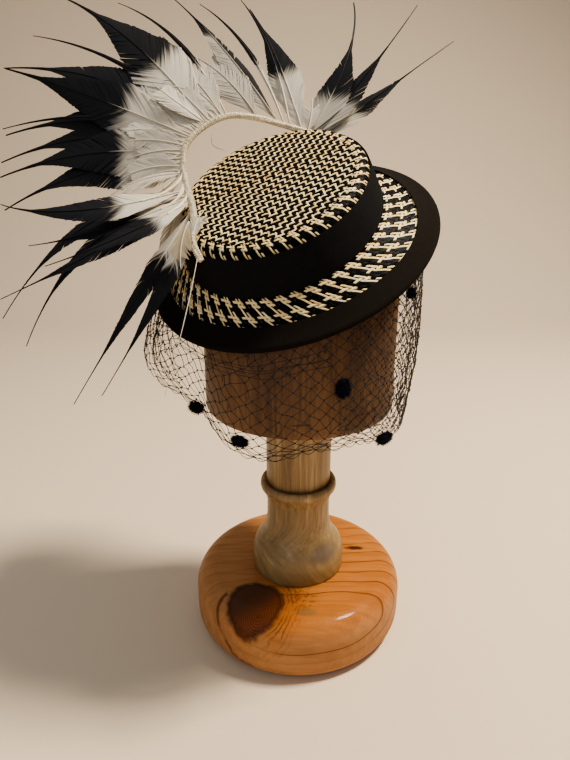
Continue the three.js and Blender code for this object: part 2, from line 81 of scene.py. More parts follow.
# %% Material helper
class Finish:
    """One procedural material: node() adds a node and returns its first output, or the one that is named."""

    def __init__(self, name, roughness, colour=(0.5, 0.5, 0.5)):
        self.material = bpy.data.materials.new(name)
        self.material.use_nodes = True
        self.tree = self.material.node_tree
        self.shader = self.tree.nodes["Principled BSDF"]
        self.shader.inputs["Roughness"].default_value = roughness
        self.shader.inputs["Base Color"].default_value = (*colour, 1)

    def node(self, kind, output=0, settings=None, **inputs):
        made = self.tree.nodes.new("ShaderNode" + kind)
        for key, value in (settings or {}).items():
            setattr(made, key, value)
        for key, value in inputs.items():
            socket = made.inputs[int(key[1:]) if key[0] == "i" and key[1:].isdigit() else key.replace("_", " ")]
            if isinstance(value, bpy.types.NodeSocket):
                self.tree.links.new(value, socket)
            else:
                socket.default_value = value
        return made.outputs[output]

    def math(self, operation, a, b=0.0, c=0.0):
        return self.node("Math", settings={"operation": operation}, i0=a, i1=b, i2=c)

    def times(self, first, *others):
        for other in others:
            first = self.math("MULTIPLY", first, other)
        return first

    def plus(self, a, b):
        return self.math("ADD", a, b)

    def minus(self, a, b):
        return self.math("SUBTRACT", a, b)

    def place(self, scale=(1, 1, 1), shift=(0, 0, 0)):
        """Object coordinates in metres, moved and then scaled."""
        moved = self.node("Mapping", Vector=self.node("TexCoord", "Object"), Location=shift)
        return self.node("Mapping", Vector=moved, Scale=scale)

    def axes(self, vector=None):
        """The X, Y and Z of a vector, or of the object coordinates."""
        split = self.tree.nodes.new("ShaderNodeSeparateXYZ")
        self.tree.links.new(self.node("TexCoord", "Object") if vector is None else vector, split.inputs[0])
        return split.outputs

    def noise(self, vector, scale, detail=4.0, roughness=0.55):
        return self.node("TexNoise", Vector=vector, Scale=scale, Detail=detail, Roughness=roughness)

    def ramp(self, value, stops):
        """A colour ramp through rows of (place, colour)."""
        made = self.tree.nodes.new("ShaderNodeValToRGB")
        self.tree.links.new(value, made.inputs[0])
        ramp = made.color_ramp
        while len(ramp.elements) < len(stops):
            ramp.elements.new(0.5)
        for element, (at, colour) in zip(ramp.elements, stops):
            element.position = at
            element.color = (*colour, 1)
        return made.outputs[0]

    def between(self, value, low, high):
        """0 below low, 1 above high and smooth in between; a low above high turns it round."""
        top, bottom = (1.0, 0.0) if low < high else (0.0, 1.0)
        return self.node("MapRange", settings={"interpolation_type": "SMOOTHSTEP"}, Value=value,
                         i1=min(low, high), i2=max(low, high), i3=bottom, i4=top)

    def mix(self, share, a, b):
        """Colour a where the share is 0 and colour b where it is 1."""
        made = self.tree.nodes.new("ShaderNodeMix")
        made.data_type = "RGBA"
        for socket, value in ((made.inputs[0], share), (made.inputs[6], a), (made.inputs[7], b)):
            if isinstance(value, bpy.types.NodeSocket):
                self.tree.links.new(value, socket)
            else:
                socket.default_value = (*value, 1) if isinstance(value, tuple) else value
        return made.outputs[2]

    def tint(self, ground, mask, share, colour):
        """The ground with a share of a colour laid over it where the mask is 1."""
        return self.mix(self.times(mask, share), ground, colour)

    def patches(self, scale, detail, low, high):
        """Noise cut to patches: 0 where it is under low and 1 where it is over high."""
        return self.between(self.noise(self.place(), scale, detail), low, high)

    def spot(self, centre, reach, turn=0.0):
        """Distance from a place, 1 at the edge of an oval that is turned about the upright by some degrees."""
        moved = self.place(shift=[-part for part in centre])
        turned_round = self.node("Mapping", Vector=moved, Rotation=(0, 0, math.radians(turn)))
        oval = self.node("Mapping", Vector=turned_round, Scale=[1 / part for part in reach])
        return self.node("VectorMath", "Value", settings={"operation": "LENGTH"}, i0=oval)

    def ragged(self, distance, scale, amount):
        """The same distance with an uneven edge."""
        return self.plus(distance, self.times(self.minus(self.noise(self.place(), scale, 2), 0.5), amount))

    def attribute(self, name):
        return self.node("Attribute", "Fac", settings={"attribute_name": name})

    def colour(self, value):
        self.tree.links.new(value, self.shader.inputs["Base Color"])

    def rough(self, value):
        self.tree.links.new(value, self.shader.inputs["Roughness"])

    def bump(self, height, strength, distance):
        normal = self.node("Bump", Height=height, Strength=strength, Distance=distance)
        self.tree.links.new(normal, self.shader.inputs["Normal"])


# %% [markdown]
# A studio floor is one pale sheet that curves up behind the object, so no horizon shows. It could be a plane, but
# then the upper half of the picture would be the empty world. Three soft area lights stand in for a bright room:
# the strong warm one is on the right and behind, where the light in the photograph comes from.

# %% Floor and lights
floor_size = 8
sweep_start = 1.2
sweep_curve = 1.1

bpy.ops.object.select_all(action="DESELECT")
bpy.ops.mesh.primitive_plane_add(size=floor_size, location=(0, 0, 0))
floor = bpy.context.object
floor.name = "floor"
bpy.ops.object.mode_set(mode="EDIT")
bpy.ops.mesh.subdivide(number_cuts=79)
bpy.ops.object.mode_set(mode="OBJECT")
for vertex in floor.data.vertices:
    rise = max(vertex.co.y - sweep_start, 0)
    vertex.co.z = sweep_curve * rise ** 2 if rise < 1 else sweep_curve * (2 * rise - 1)
floor.data.materials.append(Finish("pale_floor", 0.95, (0.71, 0.59, 0.45)).material)
bpy.ops.object.shade_smooth()


def soft_light(name, place, aim, size, watts, colour):
    data = bpy.data.lights.new(name, "AREA")
    data.size = size
    data.energy = watts
    data.color = colour
    lamp = bpy.data.objects.new(name, data)
    lamp.location = place
    lamp.rotation_euler = (Vector(aim) - Vector(place)).to_track_quat("-Z", "Y").to_euler()
    bpy.context.scene.collection.objects.link(lamp)


hat_aim = (-0.02, 0, 0.34)
soft_light("window", (0.86, 0.10, 1.78), hat_aim, 0.30, 58, (1.0, 0.88, 0.71))
soft_light("room", (-0.9, -1.7, 1.2), hat_aim, 2.4, 10, (0.96, 0.97, 1.0))
soft_light("ceiling", (-0.2, 0.5, 2.1), hat_aim, 2.2, 8, (1.0, 0.97, 0.93))
world = bpy.data.worlds.new("room_air")
world.use_nodes = True
world.node_tree.nodes["Background"].inputs[0].default_value = (0.86, 0.87, 0.9, 1)
world.node_tree.nodes["Background"].inputs[1].default_value = 0.24
bpy.context.scene.world = world
bpy.context.scene.view_settings.look = "AgX - Medium High Contrast"

# %% [markdown]
# The base is a slab of knotty softwood under satin lacquer. Its growth lines run nearly straight across the back and
# the right and close round the front in a long oval, and a dark knot sits at the left of the column. The lines are
# the level lines of one distance from the middle of that oval. It takes the height too, so they turn down over the
# rim as the rings of real timber do. Cubes in place of squares make the oval's sides straighter. An image could show
# this as well, but it would stretch on the rim.

# %% Knotty softwood
base_top = 0.057


def knotty_softwood():
    pine = Finish("knotty_softwood", 0.4)
    x, y, z = pine.axes()

    def cubed(value, middle, reach):
        return pine.math("POWER", pine.math("ABSOLUTE", pine.times(pine.minus(value, middle), 1 / reach)), 3)

    def spot(across, deep, reach, turn=0.0):
        return pine.spot((across, deep, base_top), reach, turn)

    def slanting(slope, low, high):
        """0 in front of a line that slants over the top and 1 behind it."""
        return pine.between(pine.minus(y, pine.times(x, slope)), low, high)

    # growth lines: dark late wood at the end of each ring, and soft threads between
    leaning = pine.minus(y, pine.times(pine.minus(x, 0.010), 0.1))
    total = pine.plus(cubed(x, 0.011, 0.078), pine.plus(cubed(leaning, -0.089, 0.036), cubed(z, base_top, 0.026)))
    distance = pine.ragged(pine.math("POWER", total, 1 / 3), 15, 0.26)
    rings = pine.math("FRACT", pine.times(pine.minus(distance, 0.2), 2.5))
    threads = pine.math("FRACT", pine.times(distance, 17))
    fibres = pine.noise(pine.place(scale=(10, 130, 60)), 2.0, 5)
    in_front = pine.times(pine.between(distance, 1.25, 1.4), pine.between(y, -0.066, -0.080))
    fading = pine.math("MAXIMUM", slanting(1.6, -0.055, 0.0), in_front)
    late = pine.times(pine.between(rings, 0.86, 0.95), pine.between(distance, 0.80, 0.95),
                      pine.patches(18, 2, 0.22, 0.46), pine.minus(1.0, pine.times(fading, 0.85)))

    # painted light and shade: the left side and the lower rim are painted paler, the rest of the top deeper, for how
    # the light falls there
    left = pine.between(x, 0.0, -0.07)
    pale = pine.math("MAXIMUM", pine.between(z, 0.055, 0.040), left)
    deep = pine.times(pine.between(z, 0.048, 0.0565), pine.minus(1.0, left))

    # spots on the top: mottled and warm wood round the knot, a stain, and a pin knot at the right
    mottle = pine.times(pine.between(spot(0.003, -0.060, (0.020, 0.020, 0.03)), 1.0, 0.3),
                        pine.patches(190, 2, 0.50, 0.60))
    warm = pine.between(pine.ragged(spot(-0.018, -0.078, (0.034, 0.034, 0.04)), 70, 0.6), 1.0, 0.3)
    stain = pine.between(pine.ragged(spot(0.006, -0.078, (0.010, 0.006, 0.02)), 160, 0.5), 1.15, 0.7)
    pin = pine.between(pine.ragged(spot(0.060, 0.017, (0.012, 0.0040, 0.02)), 190, 0.8), 1.2, 0.4)

    # the knot: a ragged dark oval with rings of its own, a border on its left and flames on its right
    knot = pine.ragged(pine.ragged(spot(-0.041, -0.068, (0.0245, 0.029, 0.030), 17.5), 42, 0.30), 160, 0.22)
    edge = pine.ragged(spot(-0.035, -0.081, (0.043, 0.041, 0.050)), 50, 0.14)
    border = pine.times(pine.between(edge, 1.09, 1.03), pine.between(edge, 0.95, 1.01),
                        pine.between(x, -0.036, -0.052), pine.patches(85, 3, 0.36, 0.50))
    flame = pine.times(pine.between(knot, 2.1, 1.2), pine.between(x, -0.036, -0.020),
                       pine.between(pine.math("SINE", pine.times(knot, 38)), -0.2, 0.9),
                       pine.patches(70, 3, 0.40, 0.55))
    heart = pine.ragged(spot(-0.037, -0.082, (0.0225, 0.030, 0.030), 17.5), 60, 0.10)
    heart_rings = pine.between(pine.math("FRACT", pine.times(heart, 11)), 0.35, 0.95)
    heart_colour = pine.mix(heart_rings, (0.200, 0.062, 0.022), (0.115, 0.034, 0.013))
    heart_colour = pine.tint(heart_colour, slanting(0.6, -0.058, -0.034), 1.0, (0.105, 0.043, 0.021))
    heart_colour = pine.tint(heart_colour, pine.between(knot, 0.78, 0.98), 0.7, (0.058, 0.019, 0.009))

    ground = pine.mix(pine.times(pine.between(rings, 0.35, 0.95), 0.55), (0.45, 0.200, 0.066), (0.36, 0.142, 0.044))
    layers = [
        (pine.patches(11, 3, 0.35, 0.70), 0.5, (0.32, 0.110, 0.032)),
        (pine.between(threads, 0.6, 1.0), 0.22, (0.24, 0.080, 0.024)),
        (pine.between(fibres, 0.42, 0.66), 0.5, (0.25, 0.085, 0.026)),
        # painted light and shade: paler on the left and the lower rim, deeper on the rest of the top
        (pale, 0.26, (0.56, 0.34, 0.18)),
        (deep, 0.32, (0.36, 0.105, 0.004)),
        (late, 0.85, (0.13, 0.038, 0.012)),
        (mottle, 0.8, (0.17, 0.045, 0.014)),
        (warm, 0.55, (0.42, 0.13, 0.028)),
        (stain, 0.65, (0.17, 0.105, 0.042)),
        (border, 0.8, (0.10, 0.028, 0.010)),
        (flame, 0.75, (0.15, 0.042, 0.012)),
        (pine.between(knot, 1.14, 0.92), 1.0, heart_colour),
        (pin, 1.0, (0.05, 0.015, 0.006)),
    ]
    for mask, share, colour in layers:
        ground = pine.tint(ground, mask, share, colour)
    pine.colour(ground)
    pine.rough(pine.plus(pine.times(fibres, 0.16), 0.42))
    pine.bump(pine.minus(fibres, late), 0.12, 0.0006)
    pine.shader.inputs["Coat Weight"].default_value = 0.10
    pine.shader.inputs["Coat Roughness"].default_value = 0.10
    pine.shader.inputs["Specular IOR Level"].default_value = 0.08
    return pine.material


# %% [markdown]
# The column is another timber: grey-brown, with pale streaks that run up the shaft and swing sideways in the
# flared foot, where the lathe cut across the grain. The swing is a turn of the pattern that grows towards the
# foot. A greyish stain sits low on the right.

# %% Streaky wood
def streaky_wood():
    wood = Finish("streaky_wood", 0.45)
    x, y, z = wood.axes()
    low = wood.between(z, 0.118, 0.070)
    swung = wood.node("CombineXYZ", X=wood.plus(x, wood.times(low, 0.03)), Y=y,
                      Z=wood.plus(z, wood.times(low, x, 1.3)))
    stretched = wood.node("Mapping", Vector=swung, Scale=(1, 1, 0.055))
    low_stretched = wood.node("Mapping", Vector=swung, Scale=(0.30, 0.6, 0.75))
    fine = wood.noise(stretched, 330, 4, 0.6)
    broad = wood.noise(stretched, 75, 3, 0.5)
    swirl = wood.noise(low_stretched, 120, 4, 0.6)
    streaks = wood.plus(wood.times(fine, 0.55), wood.times(broad, 0.45))
    timber = wood.ramp(wood.mix(low, streaks, swirl), [
        (0.32, (0.125, 0.072, 0.031)), (0.46, (0.245, 0.152, 0.068)), (0.54, (0.305, 0.195, 0.088)),
        (0.66, (0.50, 0.36, 0.185))])
    timber = wood.tint(timber, low, 0.6, (0.255, 0.172, 0.072))
    stain = wood.between(wood.spot((0.024, -0.036, 0.086), (0.017, 0.03, 0.009)), 1.3, 0.4)
    wood.colour(wood.tint(timber, stain, 0.7, (0.115, 0.085, 0.068)))
    wood.rough(wood.plus(wood.times(fine, 0.2), 0.34))
    wood.bump(fine, 0.16, 0.0005)
    return wood.material


# %% [markdown]
# The block is dull brown wood with an upright grain, scattered short dark pores and a few cracks, and its left side is
# painted paler as painted light. It is seen through the veil, so its pattern stays low in contrast.

# %% Dull brown wood
def dull_brown_wood():
    wood = Finish("dull_brown_wood", 0.55)
    upright = wood.place(scale=(1, 1, 0.09))
    fine = wood.noise(upright, 380, 4, 0.6)
    broad = wood.noise(upright, 45, 3, 0.5)
    timber = wood.ramp(wood.plus(wood.times(fine, 0.6), wood.times(broad, 0.4)), [
        (0.34, (0.068, 0.029, 0.010)), (0.48, (0.135, 0.060, 0.0195)), (0.6, (0.200, 0.092, 0.032))])
    # painted light: the left side is painted paler, for the light that falls there
    timber = wood.tint(timber, wood.between(wood.axes()[0], -0.015, -0.075), 0.30, (0.330, 0.180, 0.085))
    pores = wood.between(wood.noise(wood.place(scale=(1, 1, 0.30)), 260, 2, 0.4), 0.66, 0.72)
    cracks = wood.between(wood.noise(wood.place(scale=(0.25, 0.25, 1.3)), 150, 2, 0.4), 0.70, 0.74)
    marks = wood.math("MAXIMUM", wood.times(pores, 0.7), wood.times(cracks, 0.75))
    wood.colour(wood.mix(marks, timber, (0.028, 0.012, 0.006)))
    wood.bump(wood.minus(fine, marks), 0.25, 0.0006)
    return wood.material


# %% [markdown]
# Straw is split palm: flat, a little glossy along its length, cream when natural and dense black when dyed. Every
# strand has its own tone. Both kinds are one material that reads two attributes, so a whole woven sheet stays one
# piece.

# %% Straw
def woven_straw():
    straw = Finish("woven_straw", 0.5)
    tone = straw.attribute("tone")
    fibre = straw.noise(straw.place(), 900, 3, 0.6)
    natural = straw.ramp(tone, [(0, (0.64, 0.46, 0.22)), (0.45, (0.94, 0.75, 0.41)), (1, (1.0, 0.90, 0.58))])
    fibred = straw.tint(natural, fibre, 0.20, (0.56, 0.38, 0.16))
    dyed = straw.ramp(tone, [(0, (0.002, 0.002, 0.0025)), (1, (0.0055, 0.005, 0.0055))])
    straw.colour(straw.mix(straw.attribute("dyed"), fibred, dyed))
    straw.bump(fibre, 0.2, 0.0002)
    straw.shader.inputs["Specular IOR Level"].default_value = 0.05
    return straw.material


# %% [markdown]
# The ribbon is matte black grosgrain: fine ribs across its width, about one to the millimetre. They follow the
# strip and not the room, so the pattern reads the strip's own UV map, where U runs along it in millimetres.

# %% Ribbon
def grosgrain(name, colour, rib_height):
    ribbon = Finish(name, 0.9, colour)
    along = ribbon.axes(ribbon.node("UVMap"))[0]
    ribs = ribbon.math("SINE", ribbon.times(along, 2 * math.pi))
    dust = ribbon.noise(ribbon.place(), 300, 3)
    ribbon.colour(ribbon.tint(colour, dust, 0.5, tuple(2.0 * part for part in colour)))
    ribbon.bump(ribbon.plus(ribs, ribbon.times(dust, 0.8)), 0.35, rib_height)
    ribbon.shader.inputs["Specular IOR Level"].default_value = 0.06
    return ribbon.material


# %% [markdown]
# A feather's colour changes along it from cream through white to black. That place is written on every barb as an
# attribute when the feather is made, and the material only turns it into colour. The quill does the same, a little
# further out than its barbs.

# %% Feather
def feather_finish():
    feather = Finish("feather", 0.5)
    tone = feather.attribute("tone")
    soft = feather.noise(feather.place(), 220, 3)
    pale = feather.ramp(tone, [(0, (0.58, 0.45, 0.26)), (0.4, (0.60, 0.535, 0.42)), (1, (0.59, 0.56, 0.49))])
    shaded = feather.tint(pale, soft, 0.32, (0.42, 0.40, 0.36))
    dark = feather.ramp(tone, [(0, (0.003, 0.003, 0.0035)), (1, (0.009, 0.009, 0.011))])
    feather.colour(feather.mix(feather.attribute("dyed"), shaded, dark))
    feather.shader.inputs["Specular IOR Level"].default_value = 0.2
    return feather.material


# %% [markdown]
# Three finishes are simple: the black pile of the dots, the ivory of the bound quills and the thread of the net. In
# each one noise runs through a ramp of colours, because even black thread isn't the same black all along. Then every
# finish gets a short name, and the pieces ask for it by that name.

# %% Remaining finishes
def mottled(name, roughness, scale, detail, stops, bump=None):
    """A finish of one noise through a ramp of colours, with bump as (strength, distance) of the same noise."""
    made = Finish(name, roughness)
    noise = made.noise(made.place(), scale, detail)
    made.colour(made.ramp(noise, stops))
    if bump:
        made.bump(noise, *bump)
    return made


chenille = mottled("chenille", 0.95, 700, 3, [(0.3, (0.002, 0.0025, 0.006)), (0.7, (0.009, 0.011, 0.024))])
chenille.shader.inputs["Specular IOR Level"].default_value = 0.1
bound_quill = mottled("bound_quill", 0.42, 420, 3, [
    (0.3, (0.58, 0.48, 0.31)), (0.5, (0.80, 0.73, 0.58)), (0.7, (0.88, 0.84, 0.74))], bump=(0.4, 0.0003))
net_thread = mottled("net_thread", 0.6, 500, 2, [(0.3, (0.006, 0.006, 0.008)), (0.7, (0.022, 0.022, 0.028))])
finishes = {
    "pine": knotty_softwood(),
    "turned_wood": streaky_wood(),
    "block_wood": dull_brown_wood(),
    "straw": woven_straw(),
    "band": grosgrain("band_ribbon", (0.0098, 0.0098, 0.0110), 0.00035),
    "binding": grosgrain("binding_ribbon", (0.0105, 0.0082, 0.0066), 0.0002),
    "feather": feather_finish(),
    "chenille": chenille.material,
    "quill": bound_quill.material,
    "net": net_thread.material,
}
print("finishes", sorted(finishes))

# %% [markdown]
# The hat is tilted forward and to the left on its block, so all its pieces are made level, in the hat's own frame,
# and then turned with one matrix. The sizes are the same driving sizes that the solid model uses, in millimetres:
# ovals for the crown's foot, for the ribbon's top and for the brim's edge.

# %% Hat frame
hat_place = Vector((-15, 0, 387))
hat_turn = (Matrix.Rotation(math.radians(-19.2), 4, "Y") @ Matrix.Rotation(math.radians(28), 4, "X")
            @ Matrix.Rotation(math.radians(-10.6), 4, "Z"))
hat_matrix = np.array(Matrix.Translation(hat_place) @ hat_turn)

crown_foot = {"a": 87.5, "b": 93.7, "x": -1.5, "y": 6.7}
ribbon_top = {"a": 81.8, "b": 88.3, "x": -0.5, "y": 8.3}
ribbon_height = 31.3
crown_height = 37.4
brim_edge = {"a": 126.4, "b": 121.2, "fall": 20, "curve": 1.5}
straw_inset = 2.5


def hat_to_world(points):
    """Points in the hat's frame in millimetres, as world points in metres."""
    points = np.asarray(points, float)
    return (points @ hat_matrix[:3, :3].T + hat_matrix[:3, 3]) * mm


def crown_point(angle, height, inset):
    up = np.minimum(height, ribbon_height) / ribbon_height
    size = {key: crown_foot[key] + (ribbon_top[key] - crown_foot[key]) * up for key in ribbon_top}
    x = size["x"] + (size["a"] - inset) * np.cos(angle)
    y = size["y"] + (size["b"] - inset) * np.sin(angle)
    return np.stack([x, y, height + 0 * x], -1)


def brim_point(angle, share, depth):
    foot = crown_point(angle, 0 * angle, 0)
    edge = np.stack([brim_edge["a"] * np.cos(angle), brim_edge["b"] * np.sin(angle), 0 * angle], -1)
    fall = brim_edge["fall"] * (1 - (1 - np.clip(share, 0, 1)) ** brim_edge["curve"])
    flat = foot + (edge - foot) * share[..., None]
    return np.stack([flat[..., 0], flat[..., 1], -fall - depth], -1)


def brim_width(angle):
    foot = crown_point(angle, 0 * angle, 0)
    return np.hypot(brim_edge["a"] * np.cos(angle) - foot[..., 0], brim_edge["b"] * np.sin(angle) - foot[..., 1])


# %% [markdown]
# Flat work becomes shaped work in one act: every vertex of a flat mesh is read, a function says where it goes, and
# it is written back. The helpers below do that, and they keep a finished piece's object at the origin.

# %% Helpers for shaping
def points_of(piece):
    flat = np.empty(len(piece.data.vertices) * 3, np.float32)
    piece.data.vertices.foreach_get("co", flat)
    return flat.reshape(-1, 3).astype(float)


def put_points(piece, points):
    piece.data.vertices.foreach_set("co", np.asarray(points, np.float32).ravel())
    piece.data.update()


def write_attribute(piece, name, values):
    attribute = piece.data.attributes.new(name, "FLOAT", "POINT")
    attribute.data.foreach_set("value", np.asarray(values, np.float32))


def only(piece):
    bpy.ops.object.select_all(action="DESELECT")
    piece.select_set(True)
    bpy.context.view_layer.objects.active = piece


def edit(piece, *steps):
    """Edit mode round some operators, with everything selected first."""
    only(piece)
    bpy.ops.object.mode_set(mode="EDIT")
    bpy.ops.mesh.select_all(action="SELECT")
    for step in steps:
        step()
    bpy.ops.object.mode_set(mode="OBJECT")


def outward():
    bpy.ops.mesh.normals_make_consistent(inside=False)


def apply_place():
    bpy.ops.object.transform_apply(location=True, rotation=True, scale=True)


def add_modifier(piece, kind, **settings):
    only(piece)
    modifier = piece.modifiers.new(kind.lower(), kind)
    for key, value in settings.items():
        setattr(modifier, key, value)
    bpy.ops.object.modifier_apply(modifier=modifier.name)


def smooth(piece, degrees):
    """Smooth shading with sharp edges kept where the faces meet at more than this angle."""
    only(piece)
    bpy.ops.object.shade_smooth_by_angle(angle=math.radians(degrees))


def new_mesh(name, points, faces):
    """A piece from world points in metres and rows of their numbers."""
    mesh = bpy.data.meshes.new(name)
    mesh.from_pydata(points.tolist(), [], faces)
    piece = bpy.data.objects.new(name, mesh)
    bpy.context.scene.collection.objects.link(piece)
    return piece


def joined(name, pieces):
    bpy.ops.object.select_all(action="DESELECT")
    for piece in pieces:
        piece.select_set(True)
    bpy.context.view_layer.objects.active = pieces[0]
    if len(pieces) > 1:
        bpy.ops.object.join()
    whole = bpy.context.object
    whole.name = name
    return whole


def finish_piece(piece, finish, slot, *nodes):
    """Gives a piece its material and its body, hides the nodes that it stands for, and says what it is. The slot is not
    used.
    """
    piece.data.materials.clear()
    piece.data.materials.append(finishes[finish])
    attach(piece, "root")
    if nodes:
        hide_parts(*nodes)
    print(piece.name, sum(len(face.vertices) - 2 for face in piece.data.polygons), "triangles")


# %% [markdown]
# The base and the column are turned on a lathe, and Blender's Spin is a lathe: half a profile, swept round the
# upright axis. A cylinder with a bevel would nearly do for the base, but one way for both keeps the profiles easy to
# compare with the real ones. The two ends of the profile lie on the axis, so merging the doubles closes the poles.

# %% Turning helper
def turned(name, profile, steps):
    """A closed solid turned from rows of (radius, height) in millimetres."""
    bpy.ops.object.select_all(action="DESELECT")
    bpy.ops.mesh.primitive_plane_add(size=2 * mm, location=(0, 0, 0))
    piece = bpy.context.object
    piece.name = name
    bpy.ops.object.mode_set(mode="EDIT")
    bpy.ops.mesh.select_all(action="SELECT")
    bpy.ops.mesh.merge(type="CENTER")
    here = Vector((0, 0, 0))
    for radius, height in profile:
        there = Vector((radius, 0, height)) * mm
        if there != here:
            bpy.ops.mesh.extrude_vertices_move(TRANSFORM_OT_translate={"value": there - here})
        here = there
    bpy.ops.mesh.select_all(action="SELECT")
    bpy.ops.mesh.spin(steps=steps, angle=2 * math.pi, center=(0, 0, 0), axis=(0, 0, 1))
    bpy.ops.mesh.select_all(action="SELECT")
    bpy.ops.mesh.remove_doubles(threshold=0.00001)
    outward()
    bpy.ops.object.mode_set(mode="OBJECT")
    return piece


def arc(centre_radius, centre_height, radius, start, end, steps):
    angles = np.radians(np.linspace(start, end, steps + 1))
    return [(centre_radius + radius * math.cos(a), centre_height + radius * math.sin(a)) for a in angles]


def curve_between(a, b, c, d, t):
    """A smooth curve from b to c, with a before and d after them and t from 0 to 1."""
    return 0.5 * (2 * b + (c - a) * t + (2 * a - 5 * b + 4 * c - d) * t ** 2 + (3 * b - a - 3 * c + d) * t ** 3)


def smooth_rows(rows, steps):
    """A soft curve through rows of (radius, height)."""
    rows = np.array(rows, float)
    padded = np.vstack([2 * rows[0] - rows[1], rows, 2 * rows[-1] - rows[-2]])
    made = [curve_between(*padded[k - 1:k + 3], t) for k in range(1, len(padded) - 2)
            for t in np.linspace(0, 1, steps, endpoint=False)]
    return [tuple(row) for row in made] + [tuple(rows[-1])]


# %% [markdown]
# The base is one thick disc. Its top edge is rounded wide, its foot a little less, and both roundings are quarter
# circles in the profile. A bevel of a cylinder would give one radius to both.

# %% Stand base
base_radius, base_height, top_round, foot_round = 102.5, 57, 20, 15
base = turned("base_wood", [
    (0, 0),
    *arc(base_radius - foot_round, foot_round, foot_round, -90, 0, 8),
    *arc(base_radius - top_round, base_height - top_round, top_round, 0, 90, 12),
    (0, base_height),
], 128)
smooth(base, 35)
finish_piece(base, "pine", "pine", "stand_base")

# %% [markdown]
# The column stands on a flared foot, narrows to a waist, swells to a ring and goes on as a plain shaft. The flare and
# the ring are soft curves through a few measured rows, since a real turner lets the tool swing there, and straight
# lines join them. The ring's lower side is long and its upper side short and undercut.

# %% Stand column
column_foot, column_waist, column_ring, column_shaft = 45.4, 30.4, 36.8, 30.8
column_height = 172
ring_middle = base_height + 89
flare = smooth_rows([(column_foot, base_height + 15), (column_foot - 3, base_height + 27),
                     (column_foot - 8, base_height + 34), (column_waist + 2.4, base_height + 43),
                     (column_waist, base_height + 56)], 5)
ring = smooth_rows([(column_waist + 0.4, ring_middle - 14), (column_waist + 1.6, ring_middle - 10),
                    (column_ring - 3, ring_middle - 6), (column_ring - 0.6, ring_middle - 2.5),
                    (column_ring, ring_middle + 1), (column_ring - 0.9, ring_middle + 4),
                    (column_ring - 3, ring_middle + 5.4), (column_shaft - 0.9, ring_middle + 3.2)], 4)
column = turned("column_wood", [
    (0, base_height),
    (column_foot - 0.8, base_height),
    (column_foot - 0.2, base_height + 0.8),
    (column_foot, base_height + 3),
    *flare,
    (column_waist, base_height + 73),
    *ring,
    (column_shaft - 0.9, ring_middle + 5),
    (column_shaft, ring_middle + 7),
    (column_shaft, base_height + column_height),
    (0, base_height + column_height),
], 96)
smooth(column, 35)
finish_piece(column, "turned_wood", "turned_wood", "stand_column")

# %% [markdown]
# The block is a plain cylinder that is cut off slantwise under the brim, with a head that fills the crown. The solid
# model already has that cut, and its own mesh must stay as it is, so a copy is taken, its loose triangles are merged
# and its round wall is shaded smooth.

# %% Stand block
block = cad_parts["stand_block"].copy()
block.data = block.data.copy()
block.name = "block_wood"
block.parent = None
for key in list(block.keys()):
    del block[key]
bpy.context.scene.collection.objects.link(block)
block.hide_render = False
edit(block, lambda: bpy.ops.mesh.remove_doubles(threshold=0.00002), outward)
smooth(block, 30)
finish_piece(block, "block_wood", "block_wood", "stand_block")

# %% [markdown]
# Straw cloth is woven flat. One strand is a thin bar with a low ridge, drawn out cell by cell, and an array lays it
# beside its copies. Then the weave is made: at each crossing the strand that goes over is lifted and the other one
# is lowered. Both directions are made by the same function, and over() decides. In this twill each strand goes over
# two and under two, one step on in each row.

# %% Strands
strand_thickness = 0.7
crossing_lift = 0.38
natural_width = 0.62
dyed_width = 1.06


def strands(name, count, cells, across, along):
    """Flat bars side by side along X, drawn out along Y with one ring of vertices for each cell."""
    bpy.ops.object.select_all(action="DESELECT")
    bpy.ops.mesh.primitive_circle_add(vertices=6, radius=0.5, fill_type="NGON")
    bar = bpy.context.object
    bar.name = name
    bar.rotation_euler = (math.pi / 2, 0, 0)
    bar.scale = (across, strand_thickness, 1)
    apply_place()
    bpy.ops.object.mode_set(mode="EDIT")
    bpy.ops.mesh.select_all(action="SELECT")
    for _ in range(cells - 1):
        bpy.ops.mesh.extrude_region_move(TRANSFORM_OT_translate={"value": (0, along, 0)})
    bpy.ops.mesh.select_all(action="SELECT")
    outward()
    bpy.ops.object.mode_set(mode="OBJECT")
    add_modifier(bar, "ARRAY", count=count, use_relative_offset=False, use_constant_offset=True,
                 constant_offset_displace=(across, 0, 0))
    return bar


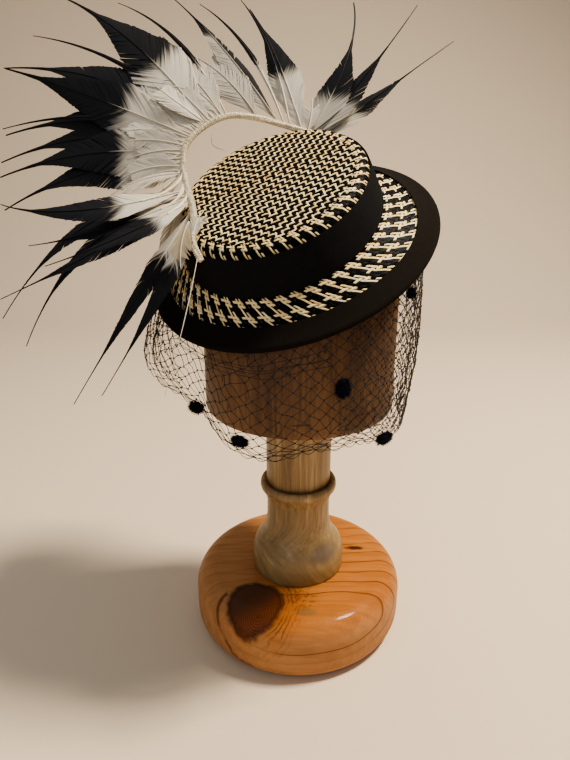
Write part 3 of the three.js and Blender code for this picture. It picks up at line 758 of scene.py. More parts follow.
def weave(name, sizes, over, is_dyed, shape, keep=None):
    """Woven cloth of columns by rows, laid over a form by shape(x, y, lift)."""
    (columns, column_pitch), (rows, row_pitch) = sizes
    layers = []
    for layer, (count, cells, across, along) in enumerate([(columns, rows, column_pitch, row_pitch),
                                                           (rows, columns, row_pitch, column_pitch)]):
        cloth = strands(f"{name}_{layer}", count, cells, across, along)
        points = points_of(cloth)
        number = np.clip(np.round(points[:, 0] / across), 0, count - 1).astype(int)
        cell = np.clip(np.round(points[:, 1] / along), 0, cells - 1).astype(int)
        column_of, row_of = (number, cell) if layer == 0 else (cell, number)
        up = np.where(over(column_of, row_of) == (layer == 0), crossing_lift, -crossing_lift)
        dyed = is_dyed[layer](number)
        width = natural_width + (dyed_width - natural_width) * dyed
        points[:, 0] = number * across + (points[:, 0] - number * across) * width
        flat = points[:, :2] if layer == 0 else points[:, 1::-1]
        tones = np.clip(rng.normal(0.55, 0.24, count), 0, 1)
        write_attribute(cloth, "tone", np.clip(tones[number] + rng.normal(0, 0.06, len(points)), 0, 1))
        write_attribute(cloth, "dyed", dyed)
        if keep is not None:
            gone = ~keep(flat[:, 0], flat[:, 1])
            bpy.ops.object.mode_set(mode="EDIT")
            bpy.ops.mesh.select_all(action="DESELECT")
            bpy.ops.object.mode_set(mode="OBJECT")
            cloth.data.vertices.foreach_set("select", gone)
            bpy.ops.object.mode_set(mode="EDIT")
            bpy.ops.mesh.delete(type="VERT")
            bpy.ops.mesh.select_all(action="SELECT")
            bpy.ops.mesh.fill_holes(sides=6)
            bpy.ops.object.mode_set(mode="OBJECT")
            kept = ~gone
            points, up, flat = points[kept], up[kept], flat[kept]
        put_points(cloth, shape(flat[:, 0], flat[:, 1], points[:, 2] + up))
        layers.append(cloth)
    cloth = joined(name, layers)
    edit(cloth, outward)
    smooth(cloth, 50)
    return cloth


# %% [markdown]
# The crown's top is the finest part: natural and black strands take turns in both directions, and in a two-and-two
# twill that draws stairs. From the middle of the weave the steps are mirrored, so the stairs climb a different way
# in each quarter, as they do where the makers begin a hat, and on one line behind it they turn back once more. The
# cloth is woven as a nearly square piece, turned a little and cut to the crown's oval.

# %% Crown top
crown_pitch = 2.42
weave_centre = np.array([4.0, -33.0])
weave_turn = math.radians(12)
fold_row = 21
middle = np.array([29, 18])
top_columns, top_rows = 64, 70
top_inset = straw_inset + 8.5
top_height = crown_height - 0.9


def top_over(column, row):
    beside, behind = np.abs(column - middle[0]), row - middle[1]
    folded = np.where(behind > fold_row, 2 * fold_row - behind, np.abs(behind))
    return (beside - folded) % 4 < 2


def every_second(start):
    return lambda number: ((number - start) % 2 == 0).astype(float)


def top_flat(x, y):
    """Places on the woven piece, as places on the crown's top."""
    x, y = x - middle[0] * crown_pitch, y - middle[1] * crown_pitch
    turned_x = x * math.cos(weave_turn) - y * math.sin(weave_turn)
    turned_y = x * math.sin(weave_turn) + y * math.cos(weave_turn)
    return turned_x + weave_centre[0], turned_y + weave_centre[1]


def on_crown_top(x, y):
    hat_x, hat_y = top_flat(x, y)
    return ((hat_x - ribbon_top["x"]) / (ribbon_top["a"] - top_inset)) ** 2 + (
        (hat_y - ribbon_top["y"]) / (ribbon_top["b"] - top_inset)) ** 2 < 1


def top_shape(x, y, lift):
    hat_x, hat_y = top_flat(x, y)
    return hat_to_world(np.stack([hat_x, hat_y, top_height + lift], -1))


crown_top = weave("crown_top", ((top_columns, crown_pitch), (top_rows, crown_pitch)), top_over,
                  (every_second(middle[0]), every_second(middle[1] + 1)), top_shape, on_crown_top)
finish_piece(crown_top, "straw", "straw", "crown")

# %% [markdown]
# Past the shoulder the weave opens into chains of small crosses, because the strands are taken in pairs: two natural
# and two black in each direction. The cloth runs round the crown as a belt, from just inside the shoulder down to
# the brim. Its rows follow the outline of the crown, so the crosses turn down over the edge.

# %% Crown wall
wall_path = np.array([(straw_inset + 10.0, crown_height - 1.3), (straw_inset + 5.5, crown_height - 1.5),
                      (straw_inset + 2.0, crown_height - 3.4), (straw_inset, crown_height - 7.2),
                      (straw_inset, -1.0)])
wall_steps = np.r_[0, np.cumsum(np.hypot(*np.diff(wall_path, axis=0).T))]
wall_count = 192
wall_rows = 17
wall_twist = math.radians(16)
wall_pitch = wall_steps[-1] / (wall_rows - 1)


def pair_over(column, row):
    return (column - row) % 4 < 2


def in_pairs(shift):
    return lambda number: ((number + shift) % 4 >= 2).astype(float)


in_pairs_both_ways = (in_pairs(0), in_pairs(3))


def wall_shape(x, y, lift):
    down = np.clip(y, 0, wall_steps[-1])
    angle = 2 * math.pi * x / wall_count + wall_twist * down / wall_steps[-1]
    inset = np.interp(down, wall_steps, wall_path[:, 0])
    height = np.interp(down, wall_steps, wall_path[:, 1])
    lean = np.interp(down, wall_steps, np.radians([90, 72, 40, 8, 4]))
    points = crown_point(angle, height, inset)
    normal = np.stack([np.cos(lean) * np.cos(angle), np.cos(lean) * np.sin(angle), np.sin(lean)], -1)
    return hat_to_world(points + normal * lift[:, None])


crown_wall = weave("crown_wall", ((wall_count, 1.0), (wall_rows, wall_pitch)), pair_over, in_pairs_both_ways,
                   wall_shape)
finish_piece(crown_wall, "straw", "straw", "crown")

# %% [markdown]
# The brim is the same paired weave on a wider belt. Its long strands run outward but lean to one side, because the
# whole plait twists a little as it grows, and the turn of the angle with the distance gives that.

# %% Brim
brim_count = 192
brim_rows = 16
brim_twist = math.radians(23)
brim_start, brim_end = -0.03, 0.955
brim_sink = 1.0


def brim_shape(x, y, lift):
    share = brim_start + (brim_end - brim_start) * y / (brim_rows - 1)
    angle = 2 * math.pi * x / brim_count + brim_twist * share
    return hat_to_world(brim_point(angle, share, brim_sink - lift))


brim = weave("brim_straw", ((brim_count, 1.0), (brim_rows, 1.0)), pair_over, in_pairs_both_ways, brim_shape)
finish_piece(brim, "straw", "straw", "brim")

# %% [markdown]
# A ribbon is a strip. The band is a long flat grid with a UV map in millimetres, bent round the crown, pulled in a
# little at its two edges and lapped over its own end at the back. The Solidify modifier gives it the thickness of
# real grosgrain.

# %% Ribbon strips
def strip(name, length, width, around, across):
    """A flat strip with its UV map in millimetres. Its vertices run from 0 to 1 both ways."""
    bpy.ops.object.select_all(action="DESELECT")
    bpy.ops.mesh.primitive_grid_add(x_subdivisions=around, y_subdivisions=across, size=1, location=(0.5, 0.5, 0),
                                    calc_uvs=True)
    cloth = bpy.context.object
    cloth.name = name
    apply_place()
    flat = np.empty(len(cloth.data.loops) * 2, np.float32)
    cloth.data.uv_layers[0].data.foreach_get("uv", flat)
    uv = flat.reshape(-1, 2) * np.array([length, width], np.float32)
    cloth.data.uv_layers[0].data.foreach_set("uv", uv.ravel())
    return cloth


band_length = 2 * math.pi * 89.5
band_width = 31.0
band_thickness = 0.45
lap = 1.03
lap_at = math.radians(112)
band = strip("crown_ribbon", band_length * lap, band_width, 260, 10)
flat = points_of(band)
angle = lap_at + 2 * math.pi * lap * flat[:, 0]
level = 0.4 + flat[:, 1] * band_width
edge_pull = 0.35 * (2 * flat[:, 1] - 1) ** 4
ripple = 0.16 * np.sin(9 * angle) * np.sin(math.pi * flat[:, 1]) + 0.12 * np.sin(23 * angle + 3 * flat[:, 1])
on_top = 0.5 * np.clip((flat[:, 0] - 1 / lap) * 60, 0, 1)
put_points(band, hat_to_world(crown_point(angle, level, 0.55 + edge_pull - 0.6 * ripple - on_top)))
add_modifier(band, "SOLIDIFY", thickness=band_thickness * mm, offset=0)
edit(band, outward)
smooth(band, 50)
finish_piece(band, "band", "ribbon", "hat_band")

# %% [markdown]
# The binding is a wider ribbon folded in half over the brim's edge and sewn through. The strip's width follows a
# path across the fold: down the upper side, round the edge and back below. Small puckers from the stitches keep it
# from looking like a pipe.

# %% Brim binding
fold_rows = np.array([(17, -1.05), (12, -1.15), (6, -1.15), (2.2, -1.1), (0.7, -0.6), (0.1, 1.0), (0.7, 2.6),
                      (2.2, 3.05), (6, 3.1), (12, 3.1), (17, 3.0)])
fold_steps = np.r_[0, np.cumsum(np.hypot(*np.diff(fold_rows, axis=0).T))]
binding_length = 2 * math.pi * 123.8
binding_width = 17
binding_thickness = 0.5
binding = strip("brim_ribbon", binding_length, fold_steps[-1], 320, 26)
flat = points_of(binding)
angle = 2 * math.pi * flat[:, 0] + math.radians(100)
across = flat[:, 1] * fold_steps[-1]
inset = np.interp(across, fold_steps, fold_rows[:, 0])
depth = np.interp(across, fold_steps, fold_rows[:, 1])
pucker = 0.14 * np.sin(61 * angle) * np.clip(inset / binding_width, 0, 1) ** 2 + 0.22 * np.sin(7 * angle + 1)
share = 1 - (inset + 0.25 + 0.3 * np.sin(5 * angle) * (inset > 12)) / brim_width(angle)
put_points(binding, hat_to_world(brim_point(angle, share, depth - np.sign(2 - depth) * (pucker * 0.5))))
edit(binding, lambda: bpy.ops.mesh.remove_doubles(threshold=0.00001))
add_modifier(binding, "SOLIDIFY", thickness=binding_thickness * mm, offset=0)
edit(binding, outward)
smooth(binding, 60)
finish_piece(binding, "binding", "ribbon", "brim_binding")

# %% [markdown]
# The feathers are held by a spine of quills that are bound together with thread. It starts at the front left of the
# ribbon, climbs over the crown's edge, stands off in a loose bow behind and comes down to the ribbon again. The
# same rows as in the solid model give its route: the angle round the crown, the distance and the height.

# %% Spine route
spine_rows = [
    (-126, 89.2, 30), (-134, 82, 39.8), (-144, 71, 40.5), (-172, 64, 42), (-198, 75, 48), (-217, 88, 60),
    (-230, 90, 64), (-248, 92.5, 62), (-263, 90, 52), (-282, 93, 32), (-298, 93, 20),
]


def smooth_line(rows, count):
    """Evenly spaced points on a centripetal curve through rows, in the hat's frame."""
    rows = np.asarray(rows, float)
    padded = np.vstack([2 * rows[0] - rows[1], rows, 2 * rows[-1] - rows[-2]])
    made = []
    for k in range(1, len(padded) - 2):
        four = padded[k - 1:k + 3]
        at = np.r_[0, np.cumsum(np.maximum(np.sqrt(np.linalg.norm(np.diff(four, axis=0), axis=1)), 1e-6))]
        for t in np.linspace(at[1], at[2], 24, endpoint=False):
            points = list(four)
            for span, shift in ((1, 0), (2, 0), (1, 1)):
                points = [(points[i] * (at[i + shift + span] - t) + points[i + 1] * (t - at[i + shift]))
                          / (at[i + shift + span] - at[i + shift]) for i in range(len(points) - 1)]
            made.append(points[0])
    made = np.array(made + [rows[-1]])
    length = np.r_[0, np.cumsum(np.linalg.norm(np.diff(made, axis=0), axis=1))]
    even = np.linspace(0, length[-1], count)
    return np.stack([np.interp(even, length, made[:, k]) for k in range(3)], -1)


spine_line = smooth_line([(ribbon_top["x"] + radius * math.cos(math.radians(angle)),
                           ribbon_top["y"] + radius * math.sin(math.radians(angle)), height)
                          for angle, radius, height in spine_rows], 241)


def frame_along(line):
    """Tangent, side and up vectors along a line of points."""
    tangent = np.gradient(line, axis=0)
    tangent /= np.linalg.norm(tangent, axis=1)[:, None]
    side = np.cross(tangent, [0, 0, 1])
    side /= np.maximum(np.linalg.norm(side, axis=1), 1e-6)[:, None]
    return tangent, side, np.cross(side, tangent)


# %% [markdown]
# The spine is three thick quills that twist round each other, a thread wound round all of them 160 times, and one
# loose end that bows inward over the crown. Each is a curve with a round bevel, which is the quickest way to a wire
# in Blender, and becomes a mesh before they are joined.

# %% Spine of bound quills
quill_radius, quill_offset = 1.2, 1.25
wrap_count, wrap_radius = 160, 2.6


def wires(name, lines, radius, sides=4):
    """Wires along lines of world points in metres, as one mesh with closed ends. The radius is in millimetres."""
    curve = bpy.data.curves.new(name, "CURVE")
    curve.dimensions = "3D"
    curve.bevel_depth = radius * mm
    curve.bevel_resolution = max((sides - 4) // 2, 0)
    curve.use_fill_caps = True
    for line in lines:
        spline = curve.splines.new("POLY")
        spline.points.add(len(line) - 1)
        spline.points.foreach_set("co", np.c_[line, np.ones(len(line))].ravel())
    piece = bpy.data.objects.new(name, curve)
    bpy.context.scene.collection.objects.link(piece)
    only(piece)
    bpy.ops.object.convert(target="MESH")
    return bpy.context.object


def tube(name, lines, radius, sides=6):
    """The same along lines in the hat's frame, in millimetres."""
    return wires(name, [hat_to_world(line) for line in lines], radius, sides)


def around(centre, side, up, radius, phase):
    """A line that winds round another one."""
    return centre + radius * (side * np.cos(phase)[:, None] + up * np.sin(phase)[:, None])


_, spine_side, spine_up = frame_along(spine_line)
turns = np.linspace(0, 1, len(spine_line))
quills = [around(spine_line, spine_side, spine_up, quill_offset, 5 * math.pi * turns + phase)
          for phase in (0, 2.1, 4.2)]
wrap_turns = np.linspace(0, 1, 2400)
wrap_frame = [np.stack([np.interp(wrap_turns, turns, line[:, k]) for k in range(3)], -1)
              for line in (spine_line, spine_side, spine_up)]
wrap = around(*wrap_frame, wrap_radius, 2 * math.pi * wrap_count * wrap_turns)
loose_loop = smooth_line([(-42, 139, 57), (-56, 118, 46), (-58, 98, 40), (-46, 82, 39.2)], 24)
spine = joined("feather_spine", [tube("quills", quills, quill_radius), tube("binding_thread", [wrap], 0.36, 4),
                                 tube("quill_loop", [loose_loop], 0.4)])
smooth(spine, 60)
finish_piece(spine, "quill", "feather", "feather_spray")

# %% [markdown]
# A feather is a quill with two rows of barbs. One barb is a narrow strip, and an array sets its copies side by side,
# flat: X counts the barbs and Y runs from the quill at 0 to the vane's edge at 1. Later the width of the vane, the
# forward lean of the barbs and the bow of the quill place every vertex. Neighbours overlap a little, so the vane
# closes to a smooth sheet with straight edges, as trimmed hat feathers have.

# %% One row of barbs
barb_count = 84
barb_parts = 4
quill_parts = 20


def barb_row():
    bpy.ops.object.select_all(action="DESELECT")
    bpy.ops.mesh.primitive_grid_add(x_subdivisions=1, y_subdivisions=barb_parts, size=1, location=(0.5, 0.5, 0))
    row = bpy.context.object
    apply_place()
    add_modifier(row, "ARRAY", count=barb_count, use_relative_offset=False, use_constant_offset=True,
                 constant_offset_displace=(2, 0, 0))
    points = points_of(row)
    faces = [tuple(face.vertices) for face in row.data.polygons]
    bpy.data.objects.remove(row)
    return points, faces


barb_points, barb_faces = barb_row()
barb_number = np.floor(barb_points[:, 0] / 2 + 0.01).astype(int)
barb_edge = barb_points[:, 0] - 2 * barb_number
print("one row of barbs", len(barb_faces), "faces")

# %% [markdown]
# These tables give the vane's half width along the quill, from 0 to 1 both ways. A long feather is a kite: it
# widens evenly for a third of its length, narrows evenly and runs out in a nearly bare quill. On a spear the vane
# stops half way and the bare quill runs on. A short one is a leaf. A wisp is hardly more than a quill.

# %% Outlines of vanes
vanes = {
    "kite": np.array([(0, 0.02), (0.05, 0.10), (0.15, 0.52), (0.27, 0.94), (0.34, 1.0), (0.44, 0.82), (0.56, 0.55),
                      (0.68, 0.26), (0.77, 0.09), (0.88, 0.045), (1, 0.03)]),
    "spear": np.array([(0, 0.02), (0.04, 0.25), (0.10, 0.75), (0.17, 1.0), (0.27, 0.98), (0.36, 0.70), (0.46, 0.36),
                       (0.55, 0.11), (0.65, 0.05), (0.85, 0.04), (1, 0.03)]),
    "leaf": np.array([(0, 0.03), (0.08, 0.12), (0.25, 0.58), (0.50, 0.96), (0.68, 1.0), (0.86, 0.72), (0.97, 0.25),
                      (1, 0.05)]),
    "wisp": np.array([(0, 0.2), (0.3, 0.8), (0.45, 1.0), (0.65, 0.6), (1, 0.12)]),
}


class Midrib:
    """The bowed middle line of a feather in the hat's frame, in millimetres."""

    def __init__(self, root, bearing, rise, length, swing, arch=0.04):
        bearing, rise = math.radians(bearing), math.radians(rise)
        along = np.array([math.cos(bearing) * math.cos(rise), math.sin(bearing) * math.cos(rise), math.sin(rise)])
        side = np.array([-math.sin(bearing), math.cos(bearing), 0])
        self.root, self.length = np.asarray(root, float), length
        self.tip = self.root + along * length
        self.bow = (self.root + self.tip) / 2 + side * 2 * swing * length + np.array([0, 0, 2 * arch * length])

    def at(self, share):
        share = np.asarray(share, float)[:, None]
        return (1 - share) ** 2 * self.root + 2 * share * (1 - share) * self.bow + share ** 2 * self.tip

    def axes(self, share):
        share = np.asarray(share, float)[:, None]
        tangent = 2 * (1 - share) * (self.bow - self.root) + 2 * share * (self.tip - self.bow)
        tangent /= np.linalg.norm(tangent, axis=1)[:, None]
        out = np.cross([0, 0, 1], tangent)
        out /= np.maximum(np.linalg.norm(out, axis=1), 1e-6)[:, None]
        return tangent, out, np.cross(tangent, out)


# %% [markdown]
# This grows one feather round its midrib. Barbs lean forward and curve a little. In a few places two neighbours let
# go of each other and the vane opens in a slit. The dyed part begins at a share of the length and fades in over a few
# barbs; dark_hand names a side that is black from the root. The whole vane is turned about its quill by some degrees,
# which brings the front edge of a feather on the left down.

# %% Growing a feather
barb_lean, barb_curl = 1.0, 0.3
barb_overlap = 1.25
dark_side_width = 0.4
dye_fade = 0.05


def grow_feather(midrib, width, vane, black_from, seed, dark_hand=0, slits=2, ruffle=0.02, turn=0.0, tone_up=0.0):
    """Points, faces, tone and dye of one feather."""
    own = np.random.default_rng(seed)
    turn = math.radians(turn)
    rows = vanes[vane]
    numbers = np.arange(barb_count)
    points, faces, tones, dyes = [], [], [], []
    for hand in (1, -1):
        reach = 1 + own.normal(0, 0.8 * ruffle, barb_count)
        opening = np.zeros(barb_count)
        for _ in range(slits):
            place = own.integers(8, 52)
            away = numbers - place + 0.5
            opening += own.uniform(0.8, 2.6) * np.sign(away) * np.exp(-np.abs(away) / 3)
        heave = own.normal(0, ruffle, barb_count) + 0.02 * np.sin(numbers * 0.35 + own.uniform(0, 6))
        out_share = barb_points[:, 1]
        root_place = (barb_number + 0.5 + (barb_edge - 0.5) * barb_overlap) / barb_count
        narrow = dark_side_width if hand == dark_hand else 1.0
        wide = 0 * root_place
        for _ in range(6):
            end_place = root_place + (barb_lean + barb_curl) * wide / midrib.length
            wide = np.maximum(np.interp(end_place, rows[:, 0], rows[:, 1]) * narrow * width / 2, min(0.42, width / 10))
        wide = wide * reach[barb_number] * out_share
        forward = wide * (barb_lean + barb_curl * out_share) + opening[barb_number] * out_share ** 2
        place = root_place + forward / midrib.length
        place = np.clip(place, 0, 0.999)
        _, out, up = midrib.axes(place)
        out, up = out * math.cos(turn) - up * math.sin(turn), up * math.cos(turn) + out * math.sin(turn)
        lift = 0.05 * (barb_number % 2) - 0.012 * wide * out_share * np.sqrt(width) + heave[barb_number] * wide
        points.append(midrib.at(place) + out * (hand * wide)[:, None] + up * lift[:, None])
        faces += [tuple(int(i) + len(barb_points) * (hand < 0) for i in face[::hand]) for face in barb_faces]
        fade = own.normal(0, 0.012, barb_count)[barb_number]
        dye = np.clip((place + fade - 0.03 * out_share - black_from) / dye_fade + 0.5, 0, 1)
        dyes.append(np.ones(len(dye)) if hand == dark_hand else dye)
        shade = own.normal(0, 0.09, barb_count)[barb_number]
        tones.append(np.clip(0.42 + 0.45 * np.clip(place / 0.2, 0, 1) + tone_up + shade, 0, 1))
    start = 2 * len(barb_points)
    share = np.linspace(0, 1, quill_parts + 1)
    centre, (_, out, up) = midrib.at(share), midrib.axes(share)
    radius = np.interp(share, [0, 0.35, 1], [0.9, 0.6, 0.36]) * min(1, 0.3 + width / 7)
    ring = [centre + radius[:, None] * (out * math.cos(a) + up * (math.sin(a) + 0.25)) for a in (0, 1.57, 3.14, 4.71)]
    points.append(np.stack(ring, 1).reshape(-1, 3))
    for k in range(quill_parts):
        for i in range(4):
            j = (i + 1) % 4
            faces.append((start + 4 * k + i, start + 4 * k + j, start + 4 * k + 4 + j, start + 4 * k + 4 + i))
    faces += [(start + 3, start + 2, start + 1, start), tuple(start + 4 * quill_parts + i for i in range(4))]
    dyes.append(np.repeat(np.clip((share - black_from - 0.03) / 0.08 + 0.5, 0, 1), 4))
    tones.append(np.full(4 * (quill_parts + 1), 0.40))
    return np.concatenate(points), faces, np.concatenate(tones), np.concatenate(dyes)


# %% [markdown]
# The rows give the long feathers one by one, in the order in which they leave the spine: place along the spine,
# bearing, rise, length, width, swing, and the share at which the black begins. Places and directions are the solid
# model's, apart from six of the last seven rows, which were set by the photograph once more, and the vanes are wider.
# One feather is grey with a black side, so it takes a share of the dye all over. The vanes on the left are turned
# about their quills by up to 36 degrees.

# %% Long feathers
feather_rows = [
    (0.02, -102, -15, 115, 1, 0.04, 1.5), (0.17, -123, -19, 155, 20, 0.07, 0.27),
    (0.22, -129, -19, 180, 24, 0.04, 0.25), (0.26, -152, 5, 126, 30, 0.13, 0.26),
    (0.27, -160, -3, 178, 28, 0.10, 0.25), (0.28, -173, 2, 146, 26, 0.14, 0.27),
    (0.29, -141, -9, 178, 28, -0.20, 0.28), (0.30, -151, -5, 182, 30, -0.22, 0.28),
    (0.32, 178, 10, 167, 30, 0.18, 0.30), (0.41, -173, 6, 162, 40, -0.12, 0.31),
    (0.46, -178, 10, 165, 44, -0.06, 0.31), (0.48, 178, 11, 168, 42, -0.12, 0.31),
    (0.50, 172, 15, 168, 46, -0.12, 0.30), (0.52, 175, 17, 168, 5, -0.10, 0.36),
    (0.53, 154, 22, 200, 46, 0.02, 0.30), (0.56, 160, 24, 192, 46, -0.09, 0.30),
    (0.58, 148, 27, 190, 5, -0.07, 0.30), (0.60, 134, 30, 198, 54, -0.04, 0.34),
    (0.67, 128, 30, 165, 5, -0.08, 0.30), (0.84, 126, 35, 165, 30, -0.02, 0.60),
    (0.86, 119, 34, 150, 5, -0.07, 0.36), (0.88, 103, 29, 152, 5, -0.05, 0.30),
    (0.92, 105, 31, 142, 31, -0.03, 0.37), (0.95, 66, 20, 150, 38, -0.11, 0.21),
    (0.97, 41, 18, 150, 32, -0.07, 0.21), (0.99, 31, 6, 152, 30, -0.06, 0.22),
]
grey_row = 19
smoke = 0.36
spear_from = 0.95


def spine_at(share):
    return np.array([np.interp(share, turns, spine_line[:, k]) for k in range(3)])


def feather_piece(name, grown):
    points, faces, tones, dyes, start = [], [], [], [], 0
    for own_points, own_faces, own_tones, own_dyes in grown:
        points.append(own_points)
        faces += [tuple(start + i for i in face) for face in own_faces]
        tones.append(own_tones)
        dyes.append(own_dyes)
        start += len(own_points)
    piece = new_mesh(name, hat_to_world(np.concatenate(points)), faces)
    write_attribute(piece, "tone", np.concatenate(tones))
    write_attribute(piece, "dyed", np.concatenate(dyes))
    only(piece)
    bpy.ops.object.shade_smooth()
    return piece


row_at = np.array([row[0] for row in feather_rows])
row_bearing = np.unwrap(np.radians([row[1] for row in feather_rows]))
row_rise = np.array([row[2] for row in feather_rows])


def vane_turn(at):
    return np.interp(at, [0.24, 0.36, 0.40, 0.52, 0.60, 0.70], [0, 16, 36, 36, 10, 0])


midribs = [Midrib(spine_at(at), bearing, rise, length, swing)
           for at, bearing, rise, length, width, swing, black_from in feather_rows]
grown = []
for seed, (midrib, row) in enumerate(zip(midribs, feather_rows)):
    width, black_from = row[4], row[6]
    vane = "wisp" if width <= 6 else "spear" if row[0] >= spear_from else "kite"
    grey = seed == grey_row
    *made, dyes = grow_feather(midrib, width, vane, black_from, seed, dark_hand=-1 if grey else 0,
                               slits=5 if grey else seed % 2, turn=vane_turn(row[0]))
    grown.append((*made, np.maximum(dyes, smoke if grey else 0)))
long_feathers = feather_piece("long_feathers", grown)
finish_piece(long_feathers, "feather", "feather", "feather_spray")

# %% [markdown]
# Between the long feathers' roots lie shorter white ones, 36 to 68 mm long, with soft leaf outlines. They follow
# the same directions as their neighbours, with a little scatter, so their bearings are read off the long rows. They
# close the fan to one white sheet on the left and a small one on the right. The leaf rows add single ones: two that
# point down over the brim at the spine's front end, a small one on the crown, and three wide ones in the fan, of
# which the last is grey.

# %% Short feathers
short_places = np.r_[np.linspace(0.40, 0.66, 18), np.linspace(0.92, 0.98, 4)]
short_grown = []
for k, at in enumerate(short_places):
    bearing = math.degrees(np.interp(at, row_at, row_bearing)) + rng.normal(0, 5)
    rise = np.interp(at, row_at, row_rise) + rng.normal(0, 3)
    midrib = Midrib(spine_at(at), bearing, rise, rng.uniform(46, 68) if at < 0.9 else rng.uniform(36, 46),
                    rng.normal(-0.05, 0.04), 0.05)
    short_grown.append(grow_feather(midrib, rng.uniform(18, 24), "leaf", 1.5, 100 + k, slits=2, ruffle=0.04,
                                    turn=vane_turn(at) + rng.normal(0, 6)))
leaf_rows = [
    ((-78, 12, 43), -114, -29, 62, 21, 0.08, 0.1, 0), ((-58.7, -36.7, 48), -103, -22, 39, 17, -0.04, -0.85, 0),
    ((-57, -51, 40), 77, 8, 31, 15, 0.05, -0.2, 0), (tuple(spine_at(0.655)), 131, 31, 84, 40, -0.06, 0.0, 0.16),
    (tuple(spine_at(0.39)), -170, 4, 66, 26, -0.04, -0.1, 0), (tuple(spine_at(0.77)), 133, 32, 92, 46, -0.05, 0, smoke),
]
for k, (root, bearing, rise, length, width, swing, tone_up, greyed) in enumerate(leaf_rows):
    *made, dyes = grow_feather(Midrib(root, bearing, rise, length, swing, 0.06), width, "leaf", 1.5, 200 + k,
                               slits=2, ruffle=0.04, tone_up=tone_up)
    short_grown.append((*made, np.maximum(dyes, greyed)))
short_feathers = feather_piece("short_feathers", short_grown)
finish_piece(short_feathers, "feather", "feather", "feather_spray")

# %% [markdown]
# Some quills leave the spine higher up and run beside it before they bend out into their feathers, so it looks like
# a plait that comes apart. Each is a wire from the spine to the first part of a feather's midrib.

# %% Branching quills
branch_rows = [(4, 0.40, 0.20), (5, 0.37, 0.16), (6, 0.43, 0.22), (7, 0.45, 0.22), (8, 0.42, 0.20), (9, 0.50, 0.24),
               (10, 0.54, 0.22), (3, 0.33, 0.18)]
pull = 0.35
branches = []
for number, at, reached in branch_rows:
    end, (tangent, _, _) = midribs[number].at([reached])[0], midribs[number].axes([reached])
    start = spine_at(at)
    span = np.linalg.norm(end - start)
    ahead = spine_at(at - 0.04) - start
    ahead /= np.linalg.norm(ahead)
    t = np.linspace(0, 1, 14)[:, None]
    first, second = start + ahead * pull * span, end - tangent[0] * pull * span
    branches.append((1 - t) ** 3 * start + 3 * t * (1 - t) ** 2 * first + 3 * t * t * (1 - t) * second + t ** 3 * end)
branching = tube("branching_quills", branches, 1.3)
smooth(branching, 60)
finish_piece(branching, "quill", "feather", "feather_spray")

# %% [markdown]
# The veil hangs from under the brim to a scalloped hem. It is a surface first: for each direction round the stand,
# a line goes from the seam on the brim down to the hem, with a slight bulge. The rows give the hem's bearing,
# distance and height, and how far across the brim the net is sewn. They are the solid model's rows.

# %% Veil surface
hem_rows = np.array([
    (30, 93, 220, .64), (0, 92, 217, .64), (-20, 94, 218, .66), (-40, 96, 221, .74), (-65, 99, 227, .84),
    (-90, 104, 226, .88), (-105, 108, 220, .88), (-120, 107, 224, .88), (-133, 102, 233, .87), (-145, 99, 243, .85),
    (-158, 110, 251, .84), (-168, 126, 259, .84), (-180, 137, 272, .82), (-200, 132, 288, .80),
])
net_first, net_last = 22, -202
net_bulge = 7
seam_depth = 3.3


def hem_at(degrees, column):
    """A column of the hem rows, smoothly between them."""
    degrees = np.where(degrees > 40, degrees - 360, degrees)
    place = np.interp(-degrees, -hem_rows[:, 0], np.arange(len(hem_rows)))
    k = np.clip(np.floor(place).astype(int), 0, len(hem_rows) - 2)
    t = place - k
    values = hem_rows[:, column]
    last = len(hem_rows) - 1
    a, b, c, d = (values[np.clip(k + step, 0, last)] for step in (-1, 0, 1, 2))
    return curve_between(a, b, c, d, t)


def veil_point(angle, drop_share, outward=0.0):
    """World points in millimetres. The angle is the hat's, and the drop goes from 0 at the seam to 1 at the hem."""
    def seam(share):
        return hat_to_world(brim_point(angle, share, 0 * angle + seam_depth)) / mm
    edge = seam(0 * angle + 1)
    sewn = hem_at(np.degrees(np.arctan2(edge[:, 1], edge[:, 0])), 3)
    top = seam(sewn)
    bearing = np.arctan2(top[:, 1], top[:, 0])
    degrees = np.degrees(bearing)
    hem_radius, hem_height = hem_at(degrees, 1), hem_at(degrees, 2)
    fall = top[:, 2] - hem_height
    top_radius = np.hypot(top[:, 0], top[:, 1])
    bulge = net_bulge * np.sin(math.pi * np.clip(drop_share, 0, 1)) * np.minimum(fall / 150, 1)
    radius = top_radius + (hem_radius - top_radius) * drop_share + bulge + outward
    return np.stack([radius * np.cos(bearing), radius * np.sin(bearing), top[:, 2] - fall * drop_share], -1), fall


# %% [markdown]
# The net is knotted in diamonds. Its crossings are placed on the surface with a little unevenness, each crossing is
# tied to the two above it, and a thin wire runs along every tie. A curve with a small bevel makes that wire, and it
# becomes a mesh at the end. Each crossing gets a tiny knot. Rows are counted up from the hem, where they lie close
# together, and the seam cuts them off. Between the lowest crossings hang round loops, the scallops of the hem. On
# the left the net stands out a little further, because its spare length is bunched there.

# %% Net
thread_radius, loop_radius, knot_radius = 0.26, 0.27, 0.95
row_rise = 4.9
hem_heights = np.array([0, 2.6, 5.4, 8.8])
bunch_at, bunch_reach, bunch_out = -178, 24, 6


